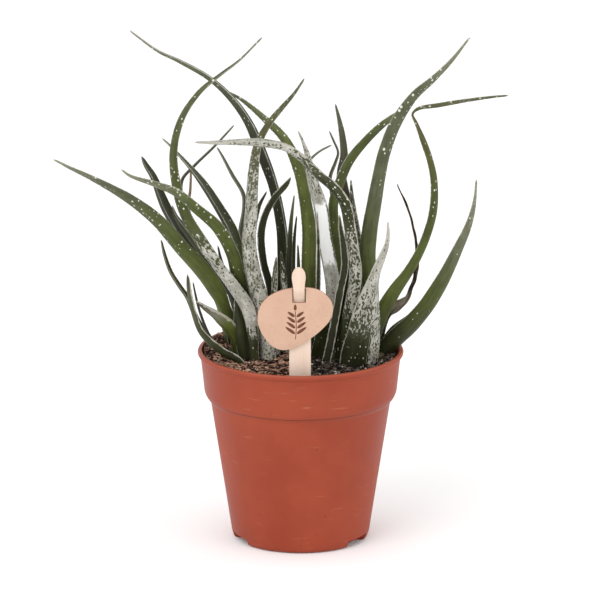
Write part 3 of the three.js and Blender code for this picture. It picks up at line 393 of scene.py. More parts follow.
# Materials
class Nodes:
    """A short way to build one material's node tree. Inputs go by their name or number."""

    def __init__(self, name, roughness, specular):
        self.material = bpy.data.materials.new(name)
        self.material.use_nodes = True
        self.tree = self.material.node_tree
        self.shader = self.tree.nodes["Principled BSDF"]
        self.put(self.shader, {"Roughness": roughness, "Specular IOR Level": specular})

    def put(self, node, inputs):
        for name, value in inputs.items():
            if isinstance(value, bpy.types.NodeSocket):
                self.tree.links.new(value, node.inputs[name])
            else:
                node.inputs[name].default_value = value
        return node.outputs

    def add(self, kind, inputs, **settings):
        node = self.tree.nodes.new("ShaderNode" + kind)
        for name, value in settings.items():
            setattr(node, name, value)
        return self.put(node, inputs)

    def math(self, operation, first, second=0.0, clamp=False):
        return self.add("Math", {0: first, 1: second}, operation=operation, use_clamp=clamp)[0]

    def plus(self, first, second):
        return self.math("ADD", first, second)

    def minus(self, first, second):
        return self.math("SUBTRACT", first, second)

    def times(self, first, second):
        return self.math("MULTIPLY", first, second)

    def steps(self, value, low, high, to_low=0.0, to_high=1.0):
        """A smooth step from one value to another where value goes from low to high."""
        inputs = {"Value": value, "From Min": low, "From Max": high, "To Min": to_low, "To Max": to_high}
        return self.add("MapRange", inputs, interpolation_type="SMOOTHSTEP")[0]

    def mix(self, share, first, second):
        """Between two colours, each a socket or a colour as seen."""
        first, second = (colour(*c) if isinstance(c, tuple) else c for c in (first, second))
        return self.add("Mix", {0: share, 6: first, 7: second}, data_type="RGBA")[2]

    def attribute(self, name, output="Fac"):
        return self.add("Attribute", {}, attribute_name=name)[output]

    def coordinate(self, kind="Object"):
        return self.add("TexCoord", {})[kind]

    def axis(self, vector, number):
        return self.add("SeparateXYZ", {"Vector": vector})[number]

    def scaled(self, place, scale):
        """A texture's inputs for one scale, or for a stretch by three."""
        if not isinstance(scale, tuple):
            return {"Vector": place, "Scale": scale}
        return {"Vector": self.add("Mapping", {"Vector": place, "Scale": scale})[0], "Scale": 1.0}

    def noise(self, place, scale, detail=2.0, roughness=0.5):
        inputs = {**self.scaled(place, scale), "Detail": detail, "Roughness": roughness}
        return self.add("TexNoise", inputs)["Fac"]

    def cells(self, place, scale):
        """Distance to the middle of a random cell, and the cell's own chances from 0 to 1."""
        cell = self.add("TexVoronoi", self.scaled(place, scale))
        return cell["Distance"], self.add("SeparateColor", {"Color": cell["Color"]})

    def bump(self, height, distance, strength, under=None):
        inputs = {"Height": height, "Distance": distance, "Strength": strength}
        if under is not None:
            inputs["Normal"] = under
        return self.add("Bump", inputs)[0]

    def finish(self, base, roughness=None, normal=None):
        given = {"Base Color": base, "Roughness": roughness, "Normal": normal}
        self.put(self.shader, {name: value for name, value in given.items() if value is not None})
        return self.material


def leaf_material():
    """Succulent skin in leaf space: x along the leaf in mm, y across it and z a seed."""
    n = Nodes("leaf_skin", 0.55, 0.22)
    place = n.attribute("leaf_place", "Vector")
    # The skin colour holds painted shade in its deep and dark tones, near the roots and on shaded leaves
    skin = n.attribute("leaf_skin", "Color")
    silver = n.attribute("leaf_silver")
    dots = n.attribute("leaf_dots")
    rim = n.attribute("leaf_rim")
    edge = n.attribute("leaf_edge")

    # Fine lengthwise streaks and soft mottling of the green
    streaks = n.noise(place, (0.05, 1.3, 1), 3)
    mottle = n.noise(place, (0.12, 0.3, 1))
    tone = n.plus(n.times(streaks, 0.5), n.times(mottle, 0.7))
    shade = n.steps(tone, 0.35, 0.85, 0.72, 1.3)
    base = n.add("VectorMath", {"Vector": skin, "Scale": shade}, operation="SCALE")[0]

    # White oval dots, some cells empty, elongated along the leaf
    distance, chances = n.cells(place, (0.4, 0.9, 1))
    size = n.times(n.minus(dots, chances[0]), 0.9)
    size = n.math("MINIMUM", size, n.plus(n.times(chances[1], 0.2), 0.18))
    spot = n.steps(n.minus(size, distance), -0.05, 0.05)
    spot = n.times(spot, n.steps(dots, 0.0, 0.03))
    base = n.mix(spot, base, (208, 208, 196))

    # Dark oval speckles where the silver scale is thin, and ragged edges where it is bleached
    grain = n.noise(place, (0.3, 0.8, 1))
    frayed = n.noise(place, (0.9, 2.2, 1), 3, 0.6)
    coarse = n.minus(grain, 0.5)
    fine = n.minus(frayed, 0.5)
    distance, _ = n.cells(place, (0.52, 1.1, 1))
    reach = n.times(n.minus(1.04, silver), 1.3)
    reach = n.times(reach, n.steps(grain, 0.3, 0.7, 0.5, 1.5))
    reach = n.plus(reach, n.times(fine, 0.35))
    speckle = n.steps(n.minus(reach, distance), -0.06, 0.06)
    at_edge = n.steps(n.minus(n.times(frayed, 2.4), edge), 0.2, 0.5)
    speckle = n.mix(n.steps(silver, 0.9, 0.99), speckle, at_edge)

    # Silver scale in patches, white where it is bleached
    white = n.mix(n.steps(mottle, 0.3, 0.7), (150, 148, 138), (190, 188, 179))
    white = n.mix(n.steps(frayed, 0.48, 0.6, 0.0, 0.45), white, (118, 115, 100))
    bare = n.steps(n.plus(silver, n.times(coarse, 0.16)), 0.9, 0.97)
    white = n.mix(bare, white, (250, 250, 248))
    scaled = n.mix(speckle, white, n.mix(0.2, base, (92, 92, 76)))
    ragged = n.times(n.plus(n.times(coarse, 0.7), n.times(fine, 0.7)), n.steps(silver, 0.0, 0.15))
    base = n.mix(n.steps(n.plus(silver, ragged), 0.28, 0.4), base, scaled)

    # Pale margin of uneven width
    width = n.times(rim, n.steps(n.noise(place, (0.22, 0.0, 1), 3), 0.3, 0.7, 0.35, 1.0))
    pale = n.steps(n.minus(width, edge), -0.12, 0.12)
    base = n.mix(n.times(pale, 0.85), base, (180, 177, 164))

    relief = n.bump(streaks, 0.0002, 0.5)
    relief = n.bump(n.plus(spot, n.times(pale, 0.6)), 0.0001, 0.7, relief)
    return n.finish(base, n.steps(tone, 0.4, 0.8, 0.42, 0.58), relief)


def dry_material():
    """Withered skin: a pale flap near the root, and dark beyond it."""
    n = Nodes("leaf_dry", 0.85, 0.2)
    place = n.attribute("leaf_place", "Vector")
    streaks = n.noise(place, (0.08, 1.5, 1), 4)
    blotch = n.noise(place, (0.2, 0.35, 1), 3)
    dark = n.mix(n.steps(blotch, 0.45, 0.65), (46, 38, 26), (92, 76, 54))
    flap = n.mix(n.steps(blotch, 0.3, 0.7), (126, 116, 98), (158, 148, 132))
    flap = n.mix(n.steps(streaks, 0.5, 0.68), flap, (78, 64, 50))
    base = n.mix(n.steps(n.plus(n.axis(place, 0), n.times(blotch, 4.0)), 42, 48), flap, dark)
    base = n.mix(n.times(n.steps(streaks, 0.62, 0.72), 0.5), base, (150, 128, 104))
    return n.finish(base, None, n.bump(streaks, 0.0006, 0.9))


def pot_material():
    """Slightly hazed plastic with upright scuffs and small flecks, a painted shadow line under the collar
    and a painted highlight along the lip.
    """
    n = Nodes("pot_plastic", 0.55, 0.22)
    place = n.coordinate()
    cloud = n.noise(place, 22, 4, 0.6)
    fine = n.noise(place, 900)
    base = n.mix(n.steps(cloud, 0.3, 0.75), (142, 57, 35), (154, 67, 43))
    haze = n.noise(place, (60, 60, 420), 3, 0.6)
    haze = n.times(n.steps(haze, 0.6, 0.78), n.steps(cloud, 0.42, 0.6))
    base = n.mix(n.times(haze, 0.2), base, (204, 152, 132))
    scuffs = n.noise(place, (330, 330, 20), 3, 0.6)
    base = n.mix(n.steps(scuffs, 0.66, 0.78, 0.0, 0.22), base, (112, 48, 36))
    height = n.axis(place, 2)
    uneven = n.times(n.minus(n.noise(place, 45, 3), 0.5), 0.0012)
    # Painted shadow: a ragged dark line just under the collar, where the collar overhangs the wall
    collar_shadow = n.math("ABSOLUTE", n.minus(n.plus(height, uneven), COLLAR_SHADOW_HEIGHT * MM))
    base = n.mix(n.steps(collar_shadow, 0.0002, 0.0007, 0.6, 0.0), base, (92, 38, 28))
    # Painted highlight: the top of the lip is lightened
    lip_highlight = n.steps(height, LIP_HIGHLIGHT[0] * MM, LIP_HIGHLIGHT[1] * MM, 0.0, 0.2)
    base = n.mix(lip_highlight, base, (184, 112, 88))
    distance, chances = n.cells(place, 210)
    fleck = n.times(n.steps(distance, 0.1, 0.16, 1.0, 0.0), n.steps(chances[0], 0.93, 0.95))
    base = n.mix(n.times(fleck, 0.6), base, (96, 48, 36))
    return n.finish(base, n.steps(cloud, 0.3, 0.75, 0.42, 0.6), n.bump(fine, 0.00003, 0.6))


def peat_material():
    """Peat, redder at the left, each grain with a tone of its own."""
    n = Nodes("peat", 0.95, 0.15)
    place = n.coordinate()
    red_side = n.steps(n.axis(place, 0), -0.012, 0.012, 1.0, 0.0)
    grain = n.noise(place, 420, 5, 0.7)
    lumps = n.noise(place, 130, 3, 0.6)
    dark = n.mix(red_side, (20, 14, 12), (40, 21, 15))
    light = n.mix(red_side, (108, 95, 85), (196, 156, 132))
    share = n.steps(n.plus(n.times(grain, 0.6), n.times(lumps, 0.4)), 0.38, 0.68)
    share = n.math("ADD", share, n.attribute("peat_tone"), True)
    return n.finish(n.mix(share, dark, light), None, n.bump(grain, 0.0012, 0.9))


def kraft_material():
    """Kraft board with fibres, and darker cut edges."""
    n = Nodes("kraft_board", 0.85, 0.25)
    place = n.coordinate()
    fibres = n.noise(place, 1100, 4, 0.65)
    cloud = n.noise(place, 60, 3)
    base = n.mix(n.steps(cloud, 0.3, 0.7), (194, 158, 136), (201, 166, 144))
    base = n.mix(n.times(n.steps(fibres, 0.5, 0.68), 0.3), base, (172, 134, 114))
    facing = n.math("ABSOLUTE", n.axis(n.coordinate("Normal"), 1))
    side = n.steps(facing, 0.5, 0.8, 1.0, 0.0)
    base = n.mix(n.times(side, 0.75), base, (120, 76, 52))
    return n.finish(base, None, n.bump(fibres, 0.00006, 0.8))


def wood_material():
    n = Nodes("pale_wood", 0.65, 0.3)
    place = n.coordinate()
    warp = n.noise(place, (200, 200, 14), 3)
    lines = n.noise(place, (1500, 1500, 500), 4, 0.6)
    base = n.mix(n.steps(warp, 0.3, 0.7), (216, 191, 172), (224, 201, 183))
    base = n.mix(n.times(n.steps(lines, 0.5, 0.72), 0.35), base, (202, 168, 144))
    return n.finish(base, None, n.bump(lines, 0.00008, 0.7))


def grained(name, roughness, specular, scale, ramp, low, high, relief=None, detail=3):
    """A material of two colours mixed by one noise, which may also give its relief."""
    n = Nodes(name, roughness, specular)
    grain = n.noise(n.coordinate(), scale, detail)
    base = n.mix(n.steps(grain, *ramp), low, high)
    return n.finish(base, None, n.bump(grain, *relief) if relief else None)


# Mesh helpers
def linked(name, data):
    made = bpy.data.objects.new(name, data)
    scene.collection.objects.link(made)
    return made


ATTRIBUTE_KINDS = {1: ("FLOAT", "value"), 3: ("FLOAT_VECTOR", "vector"), 4: ("FLOAT_COLOR", "color")}


def mesh_object(name, points, faces, material=None, smooth=True, **attributes):
    """An object made of points in mm and faces, with named point attributes."""
    mesh = bpy.data.meshes.new(name)
    mesh.from_pydata([tuple(p) for p in np.asarray(points, float) * MM], [], [tuple(f) for f in faces])
    mesh.update()
    for key, values in attributes.items():
        values = np.asarray(values, float)
        kind, field = ATTRIBUTE_KINDS[values.size // len(points)]
        mesh.attributes.new(key, kind, "POINT").data.foreach_set(field, values.ravel())
    mesh.polygons.foreach_set("use_smooth", [smooth] * len(mesh.polygons))
    if material:
        mesh.materials.append(material)
    return linked(name, mesh)


def placed(piece, slot, *nodes):
    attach(piece, "root")
    if nodes:
        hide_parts(*nodes)


def baked(piece):
    """A new mesh of an object as its modifiers or its curve make it."""
    graph = bpy.context.evaluated_depsgraph_get()
    return bpy.data.meshes.new_from_object(piece.evaluated_get(graph))


def ring_faces(rows, sides, fans=True):
    """Faces of stacked rings of points. The ends are fans to two more points, or flat."""
    faces = []
    for low in range(0, (rows - 1) * sides, sides):
        for side in range(sides):
            turn = low + (side + 1) % sides
            faces.append((low + side, turn, turn + sides, low + side + sides))
    last = (rows - 1) * sides
    if not fans:
        return faces + [tuple(reversed(range(sides))), tuple(range(last, last + sides))]
    for side in range(sides):
        turn = (side + 1) % sides
        faces.append((last + sides, turn, side))
        faces.append((last + sides + 1, last + side, last + turn))
    return faces


def circle(radius, height, sides):
    angles = [2 * math.pi * side / sides for side in range(sides)]
    return [(radius * math.cos(angle), radius * math.sin(angle), height) for angle in angles]


def lathe(profile, sides):
    """Closed surface of revolution about the z axis. The profile starts and ends on the axis."""
    points = [p for radius, height in profile[1:-1] for p in circle(radius, height, sides)]
    points += [(0, 0, profile[0][1]), (0, 0, profile[-1][1])]
    return points, ring_faces(len(profile) - 2, sides)


def fillets(profile, reach, steps=3):
    """The profile with its corners rounded, each over at most reach mm of its two sides."""
    places = [np.array(p, float) for p in profile]
    rounded = [places[0]]
    for before, corner, after in zip(places, places[1:], places[2:]):
        first = before - corner
        second = after - corner
        start = corner + first * min(reach / np.linalg.norm(first), 0.45)
        end = corner + second * min(reach / np.linalg.norm(second), 0.45)
        for step in range(steps + 1):
            t = step / steps
            rounded.append((1 - t) ** 2 * start + 2 * t * (1 - t) * corner + t**2 * end)
    return rounded + [places[-1]]


def smoothstep(value, low, high):
    share = min(max((value - low) / (high - low), 0), 1)
    return share * share * (3 - 2 * share)


def sight(across, up, depth):
    """Where the line of sight through a survey reading meets a given depth."""
    reading = np.array([across, 0.0, up])
    return EYE + (reading - EYE) * (1 - depth / EYE[1])


# Leaves
def spline_rows(places, per_span):
    """Centripetal Catmull-Rom points through places, with the reading number of each."""
    count = len(places)
    padded = [2 * places[0] - places[1], *places, 2 * places[-1] - places[-2]]
    rows = []
    numbers = []
    for span in range(count - 1):
        p0, p1, p2, p3 = padded[span : span + 4]
        t0, t1, t2 = (math.sqrt(np.linalg.norm(b - a)) for a, b in ((p0, p1), (p1, p2), (p2, p3)))
        start = ((p1 - p0) / t0 - (p2 - p0) / (t0 + t1) + (p2 - p1) / t1) * t1
        end = ((p2 - p1) / t1 - (p3 - p1) / (t1 + t2) + (p3 - p2) / t2) * t1
        for step in range(per_span + (span == count - 2)):
            t = step / per_span
            cubic = 2 * p1 - 2 * p2 + start + end
            square = -3 * p1 + 3 * p2 - 2 * start - end
            rows.append(p1 + start * t + square * t * t + cubic * t**3)
            numbers.append(span + t)
    return np.array(rows), np.array(numbers)


def eased(numbers, values):
    """Smooth values at fractional reading numbers, without overshoot."""
    slopes = np.zeros(len(values))
    steps = np.diff(values)
    for i in range(1, len(values) - 1):
        if steps[i - 1] * steps[i] > 0:
            slopes[i] = 2 * steps[i - 1] * steps[i] / (steps[i - 1] + steps[i])
    slopes[0] = steps[0]
    slopes[-1] = steps[-1]
    span = np.clip(numbers.astype(int), 0, len(values) - 2)
    t = numbers - span
    first = 2 * t**3 - 3 * t**2 + 1
    return (first * values[span] + (t**3 - 2 * t**2 + t) * slopes[span]
            + (1 - first) * values[span + 1] + (t**3 - t**2) * slopes[span + 1])


def stops(shares, table):
    """Values along the leaf from one value, or from values at shares of the length."""
    table = table if isinstance(table, dict) else {0: table}
    marks = list(table)
    values = np.array(list(table.values()), float)
    if values.ndim == 1:
        return np.interp(shares, marks, values)
    return np.stack([np.interp(shares, marks, column) for column in values.T], axis=1)


def unit(rows):
    return rows / np.linalg.norm(rows, axis=-1, keepdims=True)


class Blade:
    """One leaf's stations, every RING_SPACING mm: places, directions, widths and thicknesses."""

    def __init__(self, near, far, turn_low, turn_high, readings, seed):
        readings = np.array(readings, float)
        travel = np.r_[0, np.cumsum(np.hypot(*np.diff(readings[:, :2], axis=0).T))]
        share = travel / travel[-1]
        depth = near + (far - near) * share**DEPTH_CURVE
        places = [sight(x, z, d) for (x, z, _), d in zip(readings, depth)]
        fine, numbers = spline_rows(places, 14)
        length = np.r_[0, np.cumsum(np.linalg.norm(np.diff(fine, axis=0), axis=1))]
        self.along = np.linspace(0, length[-1], max(12, round(length[-1] / RING_SPACING)))
        numbers = np.interp(self.along, length, numbers)
        spine = np.stack([np.interp(self.along, length, column) for column in fine.T], axis=1)
        travelled = np.interp(numbers, range(len(share)), share)
        turn = np.radians(turn_low + (turn_high - turn_low) * travelled)
        self.forward = unit(np.gradient(spine, axis=0))
        rightward = unit(np.cross(self.forward, EYE - spine))
        frontward = np.cross(rightward, self.forward)
        self.upper = frontward * np.cos(turn)[:, None] + rightward * np.sin(turn)[:, None]
        self.across = np.cross(self.forward, self.upper)

        # The readings give the turned section's seen width, and its middle
        seen = [u * np.cos(turn) + v * LEAF_THICKNESS * np.sin(turn) for u, v in LEAF_SECTION]
        low, high = np.min(seen, axis=0), np.max(seen, axis=0)
        width = np.maximum(eased(numbers, readings[:, 2]), 0.25) / (high - low)
        self.spine = spine - rightward * (width * (low + high) / 2)[:, None]
        uneven = [noise.noise(Vector((s * 0.09, seed * 7.3, 0.5))) for s in self.along]
        width = width * (1 + 0.045 * np.array(uneven))

        # The tip is rounded off
        left = self.along[-1] - self.along
        ending = np.clip(left / 3.5, 0, 1) ** 0.6
        thick = np.clip(width * LEAF_THICKNESS, LEAF_THINNEST, LEAF_THICKEST)
        self.thick = np.minimum(thick, 0.25 + thick * ending)
        self.width = np.where(left < 1.5, width * (0.35 + 0.65 * ending), width)

    def at(self, ring, across, up):
        return self.spine[ring] + self.across[ring] * across + self.upper[ring] * up

    def tooth(self, ring, way, reach):
        """Corners of a small pale tooth on one margin, its foot sunk into the leaf."""
        margin = self.at(ring, way * self.width[ring] / 2, self.thick[ring] * MARGIN_LIFT)
        outward = self.across[ring] * way
        corners = [*TOOTH_FOOT, (0.2, reach, 0)]
        return [margin + self.forward[ring] * a + outward * o + self.upper[ring] * u
                for a, o, u in corners]

    def teeth(self, rand):
        """The ring, side and corners of each tooth."""
        mark = FIRST_TOOTH
        while mark < self.along[-1] * LAST_TOOTH_SHARE:
            ring = int(np.searchsorted(self.along, mark))
            for way in (1, -1):
                if self.width[ring] > NARROWEST_TOOTHED and rand.random() >= MISSING_TEETH:
                    yield ring, way, self.tooth(ring, way, rand.uniform(*TOOTH_REACH))
            mark += rand.uniform(*TOOTH_SPACING)


def section_rise(s, top):
    """Height of the section at a share of its half width, over its thickness."""
    if top:
        return MARGIN_LIFT - CHANNEL_DIP * (1 - s * s)
    return -KEEL_DROP + (MARGIN_LIFT + KEEL_DROP) * abs(s) ** KEEL_POWER


def leaf_piece(name, entry, look, seed):
    blade = Blade(*entry, seed)
    if look is None:
        blade.width = blade.width * DRY_SPREAD
    creased = look is not None and look[4] is not None
    whole = blade.along[-1]
    sides = len(SECTION)
    points = []
    places = []
    edges = []
    for ring, along in enumerate(blade.along):
        half = blade.width[ring] / 2
        for s, top in SECTION:
            rise = section_rise(s, top)
            if look is None:
                wave = noise.noise(Vector((along * 0.16, s * 1.6, seed * 3.1)))
                rise = rise * 0.45 + DRY_WAVE * wave
            points.append(blade.at(ring, half * s, blade.thick[ring] * rise))
            around, layer = (half * s, 0) if top else (-half * s, SEED_STEP / 2)
            places.append((along, around, seed * SEED_STEP + layer))
            edge = (half - abs(half * s)) * (1.0 if top else 1.15)
            if creased and not top and along < whole * CREASE_SHARE:
                edge = min(edge, abs(s - CREASE) * half * 1.3)
            edges.append(edge)
    faces = ring_faces(len(blade.along), sides)
    lateral = [s for s, _ in SECTION] * len(blade.along) + [0.0, 0.0]
    points += [np.mean(points[:sides], axis=0), np.mean(points[-sides:], axis=0)]
    places += [(0.0, 0, seed * SEED_STEP), (whole, 0, seed * SEED_STEP)]
    edges += [blade.width[0] / 2, blade.width[-1] / 2]
    if look is None:
        piece = mesh_object(name + "_piece", points, faces, leaf_dry, leaf_place=places, leaf_edge=edges)
        placed(piece, "dry_leaf", name)
        return

    for ring, way, corners in blade.teeth(random.Random(seed)):
        start = len(points)
        points += corners
        places += [(blade.along[ring], 0, seed * SEED_STEP)] * len(corners)
        edges += [0.1] * len(corners)
        lateral += [0.0] * len(corners)
        faces += [[start + i for i in face[::way]] for face in TOOTH_FACES]
    tones, silver, dots, rims, flank = look
    shares = np.array(places)[:, 0] / whole
    lateral = np.array(lateral)
    silvered = stops(shares, silver)
    if creased:
        silvered = np.where(lateral < CREASE - 0.05, np.maximum(silvered, flank), silvered)
    # Skin tones along the leaf; the deep and dark ones are partly painted shade
    piece = mesh_object(
        name + "_piece", points, faces, leaf_skin, leaf_place=places, leaf_edge=edges,
        leaf_skin=stops(shares, {share: SKINS[tone] for share, tone in tones.items()}),
        leaf_silver=silvered, leaf_dots=stops(shares, dots),
        leaf_rim=np.where(lateral < -0.1, *np.broadcast_to(rims, 2)),
    )
    placed(piece, "leaf", name)


leaf_skin = leaf_material()
leaf_dry = dry_material()
number = 0
for shoot, leaves in LEAVES.items():
    for i, entry in enumerate(leaves):
        number += 1
        leaf_piece(f"{shoot}_leaf_{i + 1}", entry, LOOKS[shoot][i], number)


# Stem crowns with leaf-scar rings
stem = grained("stem", 0.75, 0.3, (60, 60, 700), (0.35, 0.65), (44, 42, 26), (84, 78, 54), (0.0006, 0.8))
for shoot, (x, y, radius) in CROWNS.items():
    low = CROWN_TOP - CROWN_DEPTH
    profile = [(0, low), (radius * 0.8, low), (radius, CROWN_TOP - 8)]
    for k in range(CROWN_SCARS):
        profile.append((radius - 0.05 - 0.35 * (k % 2), CROWN_TOP - 7.2 + 0.7 * k))
    profile += [(radius - 1.8, CROWN_TOP - 0.3), (radius * 0.45, CROWN_TOP + 0.1), (0, CROWN_TOP + 0.3)]
    points, faces = lathe(fillets(profile, 0.4, 2), 48)
    points = np.array(points) + np.array([x, y, 0])
    placed(mesh_object(f"{shoot}_stem", points, faces, stem), "crown", f"{shoot}_crown")


# Pot
def prism(outline, low, high, angle):
    """A cutting block from an outline of x and y, turned about the z axis."""
    c, s = math.cos(math.radians(angle)), math.sin(math.radians(angle))
    points = [(c * x - s * y, s * x + c * y, z) for z in (low, high) for x, y in outline]
    return mesh_object("block", points, ring_faces(2, len(outline), False))


def notch(angle, extra=0):
    """The block of a drainage notch, larger by extra for the wall around it."""
    tangent = math.tan(math.radians(NOTCH_SPREAD / 2))
    inner = NOTCH_INNER - extra
    near = inner * tangent + extra
    far = NOTCH_OUTER * tangent + extra
    corners = [(NOTCH_OUTER, far), (inner, near), (inner, -near), (NOTCH_OUTER, -far)]
    return prism(fillets(corners, 2.5, 4), -CUT_REACH, NOTCH_HEIGHT + extra, angle)


def drain(angle):
    left, right = DRAIN_MIDDLE - DRAIN_BREADTH / 2, DRAIN_MIDDLE + DRAIN_BREADTH / 2
    half = DRAIN_LENGTH / 2
    outline = [(left, -half), (right, -half), (right, half), (left, half)]
    return prism(outline, NOTCH_HEIGHT - CUT_REACH, NOTCH_HEIGHT + CUT_REACH, angle)


def cut(piece, blocks):
    for block in blocks:
        step = piece.modifiers.new("cut", "BOOLEAN")
        step.operation = "DIFFERENCE"
        step.solver = "EXACT"
        step.object = block
    mesh = baked(piece)
    piece.modifiers.clear()
    piece.data = mesh
    for block in blocks:
        bpy.data.objects.remove(block)


pot_skin = pot_material()
rounded = fillets(POT_OUTSIDE[:-1], POT_ROUNDING) + [POT_OUTSIDE[-1]]
pot = mesh_object("pot_shell", *lathe(rounded, POT_SIDES), pot_skin)
hollow = mesh_object("pot_hollow", *lathe(fillets(POT_INSIDE, POT_ROUNDING), POT_SIDES), pot_skin)
cut(hollow, [notch(angle, WALL) for angle in NOTCH_ANGLES])
cut(pot, [hollow])
cut(pot, [notch(angle) for angle in NOTCH_ANGLES] + [drain(angle) for angle in NOTCH_ANGLES])
pot.data.polygons.foreach_set("use_smooth", [True] * len(pot.data.polygons))
pot.data.set_sharp_from_angle(angle=math.radians(32))
placed(pot, "pot", "pot")


# Peat, banked up a little against the pot's wall, more so at the left
def soil_height(x, y):
    spread = math.hypot(x, y) / SOIL_RADIUS
    crumb = math.sin(0.71 * x + 0.9) * math.cos(0.63 * y - 0.4) + 0.6 * math.sin(0.37 * x - 0.52 * y)
    slope = SOIL_RISE[0] * x + SOIL_RISE[1] * y
    slope += SOIL_BANK * smoothstep(spread, 0.7, 0.97) * (0.45 + 0.55 * smoothstep(-x, 5, 45))
    base = SOIL_EDGE + SOIL_MOUND * (1 - spread * spread) + slope + SOIL_CRUMB * crumb
    place = Vector((x, y, 3.0))
    rough = 0.8 * noise.noise(place * 0.33) + 0.55 * noise.noise(place * 0.8)
    rough += 0.35 * abs(noise.noise(place * 1.9)) + 0.2 * noise.noise(place * 3.7)
    return base + rough


def peat_bed():
    points = [p for radius, height in PEAT_SIDE for p in circle(radius, height, PEAT_SIDES)]
    for radius in np.linspace(SOIL_RADIUS, 1.0, PEAT_RINGS):
        points += [(x, y, soil_height(x, y)) for x, y, _ in circle(radius, 0, PEAT_SIDES)]
    points += [(0, 0, PEAT_SIDE[0][1]), (0, 0, soil_height(0, 0))]
    faces = ring_faces(len(PEAT_SIDE) + PEAT_RINGS, PEAT_SIDES)
    tones = [0.25 * noise.noise(Vector(p) * 0.5) - 0.15 for p in points]
    placed(mesh_object("peat_bed", points, faces, peat, peat_tone=tones), "soil", "soil")


def clear_of_crowns(x, y):
    return all(math.hypot(x - cx, y - cy) > r + 0.5 for cx, cy, r in CROWNS.values())


def ball():
    """Points and faces of a ball of few faces."""
    bm = bmesh.new()
    bmesh.ops.create_icosphere(bm, subdivisions=1, radius=1)
    points = [v.co.copy() for v in bm.verts]
    faces = [[v.index for v in f.verts] for f in bm.faces]
    bm.free()
    return points, faces


def lump(rand, smallest, largest, flat):
    """An irregular grain: a ball pushed in and out."""
    size = rand.uniform(smallest, largest)
    offset = Vector((rand.uniform(0, 50), rand.uniform(0, 50), rand.uniform(0, 50)))
    spin = rand.uniform(0, math.pi)
    stretch = rand.uniform(1, 1.7)
    c, s = math.cos(spin), math.sin(spin)
    points = []
    for place in BALL_POINTS:
        p = place * (1 + 0.55 * noise.noise(place * 1.3 + offset))
        x, y, z = p.x * stretch * size, p.y * size, p.z * size * flat
        points.append((x * c - y * s, x * s + y * c, z))
    return points, BALL_FACES


def fibre(rand, lengths, widths, count=5):
    """A thin bent strand of square section."""
    length = rand.uniform(*lengths)
    width = rand.uniform(*widths)
    heading = rand.uniform(0, 2 * math.pi)
    bend = rand.uniform(-0.5, 0.5)
    tilt = rand.uniform(-0.25, 0.35)
    step = length / (count - 1)
    points = []
    x = y = z = 0.0
    for k in range(count):
        half = width / 2 * (0.35 if k in (0, count - 1) else 1)
        side = (-math.sin(heading) * half, math.cos(heading) * half)
        for u, v in ((-1, -1), (1, -1), (1, 1), (-1, 1)):
            points.append((x + side[0] * u, y + side[1] * u, z + half * 0.7 * v))
        x += math.cos(heading) * step
        y += math.sin(heading) * step
        z += (tilt - 0.2 * k) * step * 0.5
        heading += bend
    return points, ring_faces(count, 4, False)


def scatter(name, material, seed, count, make, lift, chances=None):
    """Many small parts on the peat, joined in one piece. The chances are for left and right."""
    rand = random.Random(seed)
    points = []
    faces = []
    tones = []
    made = 0
    while made < count:
        radius = SCATTER_RADIUS * math.sqrt(rand.random())
        angle = rand.uniform(0, 2 * math.pi)
        x, y = radius * math.cos(angle), radius * math.sin(angle)
        if not clear_of_crowns(x, y) or (chances and rand.random() > chances[x > 0]):
            continue
        part, sides = make(rand)
        start = len(points)
        tone = 1.8 * rand.random() ** 2 - 0.6
        for px, py, pz in part:
            px, py, pz = x + px, y + py, soil_height(x, y) + pz + lift
            inward = min(GRAIN_LIMIT / math.hypot(px, py), 1)
            points.append((px * inward, py * inward, pz))
            tones.append(tone)
        faces += [tuple(start + i for i in side) for side in sides]
        made += 1
    placed(mesh_object(name, points, faces, material, False, peat_tone=tones), "soil")


peat = peat_material()
peat_bed()
BALL_POINTS, BALL_FACES = ball()
MORE_AT_LEFT = (1.0, 0.35)
MORE_AT_RIGHT = (0.5, 1.0)
scatter("peat_crumbs", peat, 11, 2200, lambda r: lump(r, 0.35, 1.25, 0.8), 0.25)
scatter("bark_chips", peat, 12, 420, lambda r: lump(r, 0.7, 1.7, 0.45), 0.5, MORE_AT_LEFT)
scatter("bark_fibres", peat, 13, 1500, lambda r: fibre(r, (2, 8), (0.25, 0.7)), 0.7, MORE_AT_LEFT)
perlite = grained("perlite", 0.8, 0.3, 1500, (0.35, 0.7), (190, 182, 168), (236, 232, 222), (0.0002, 0.8))
scatter("perlite_grains", perlite, 14, 380, lambda r: lump(r, 0.2, 0.7, 0.8), 0.45, MORE_AT_RIGHT)


# Label
def label_place(across, up):
    place = sight(across, up, LABEL_DEPTH)
    return place[0], place[2]


def flat_plate(name, loops, front, thickness, bevel, material):
    """A bevelled upright plate from an outline and holes of x and z."""
    curve = bpy.data.curves.new(name, "CURVE")
    curve.dimensions = "2D"
    curve.fill_mode = "BOTH"
    for loop in loops:
        spline = curve.splines.new("POLY")
        spline.points.add(len(loop) - 1)
        for point, (x, z) in zip(spline.points, loop):
            point.co = (x * MM, z * MM, 0, 1)
        spline.use_cyclic_u = True
    curve.extrude = (thickness / 2 - bevel) * MM
    curve.bevel_depth = bevel * MM
    curve.bevel_resolution = 2
    curve.offset = -bevel * MM
    plate = linked(name, curve)
    mesh = baked(plate)
    bpy.data.objects.remove(plate)
    bm = bmesh.new()
    bm.from_mesh(mesh)
    bmesh.ops.remove_doubles(bm, verts=bm.verts, dist=1e-6)
    for v in bm.verts:
        x, z, y = v.co
        v.co = (x, (front + thickness / 2) * MM + y, z)
    bmesh.ops.recalc_face_normals(bm, faces=bm.faces)
    bm.to_mesh(mesh)
    bm.free()
    mesh.materials.clear()
    mesh.materials.append(material)
    mesh.polygons.foreach_set("use_smooth", [True] * len(mesh.polygons))
    mesh.set_sharp_from_angle(angle=math.radians(40))
    return linked(name, mesh)


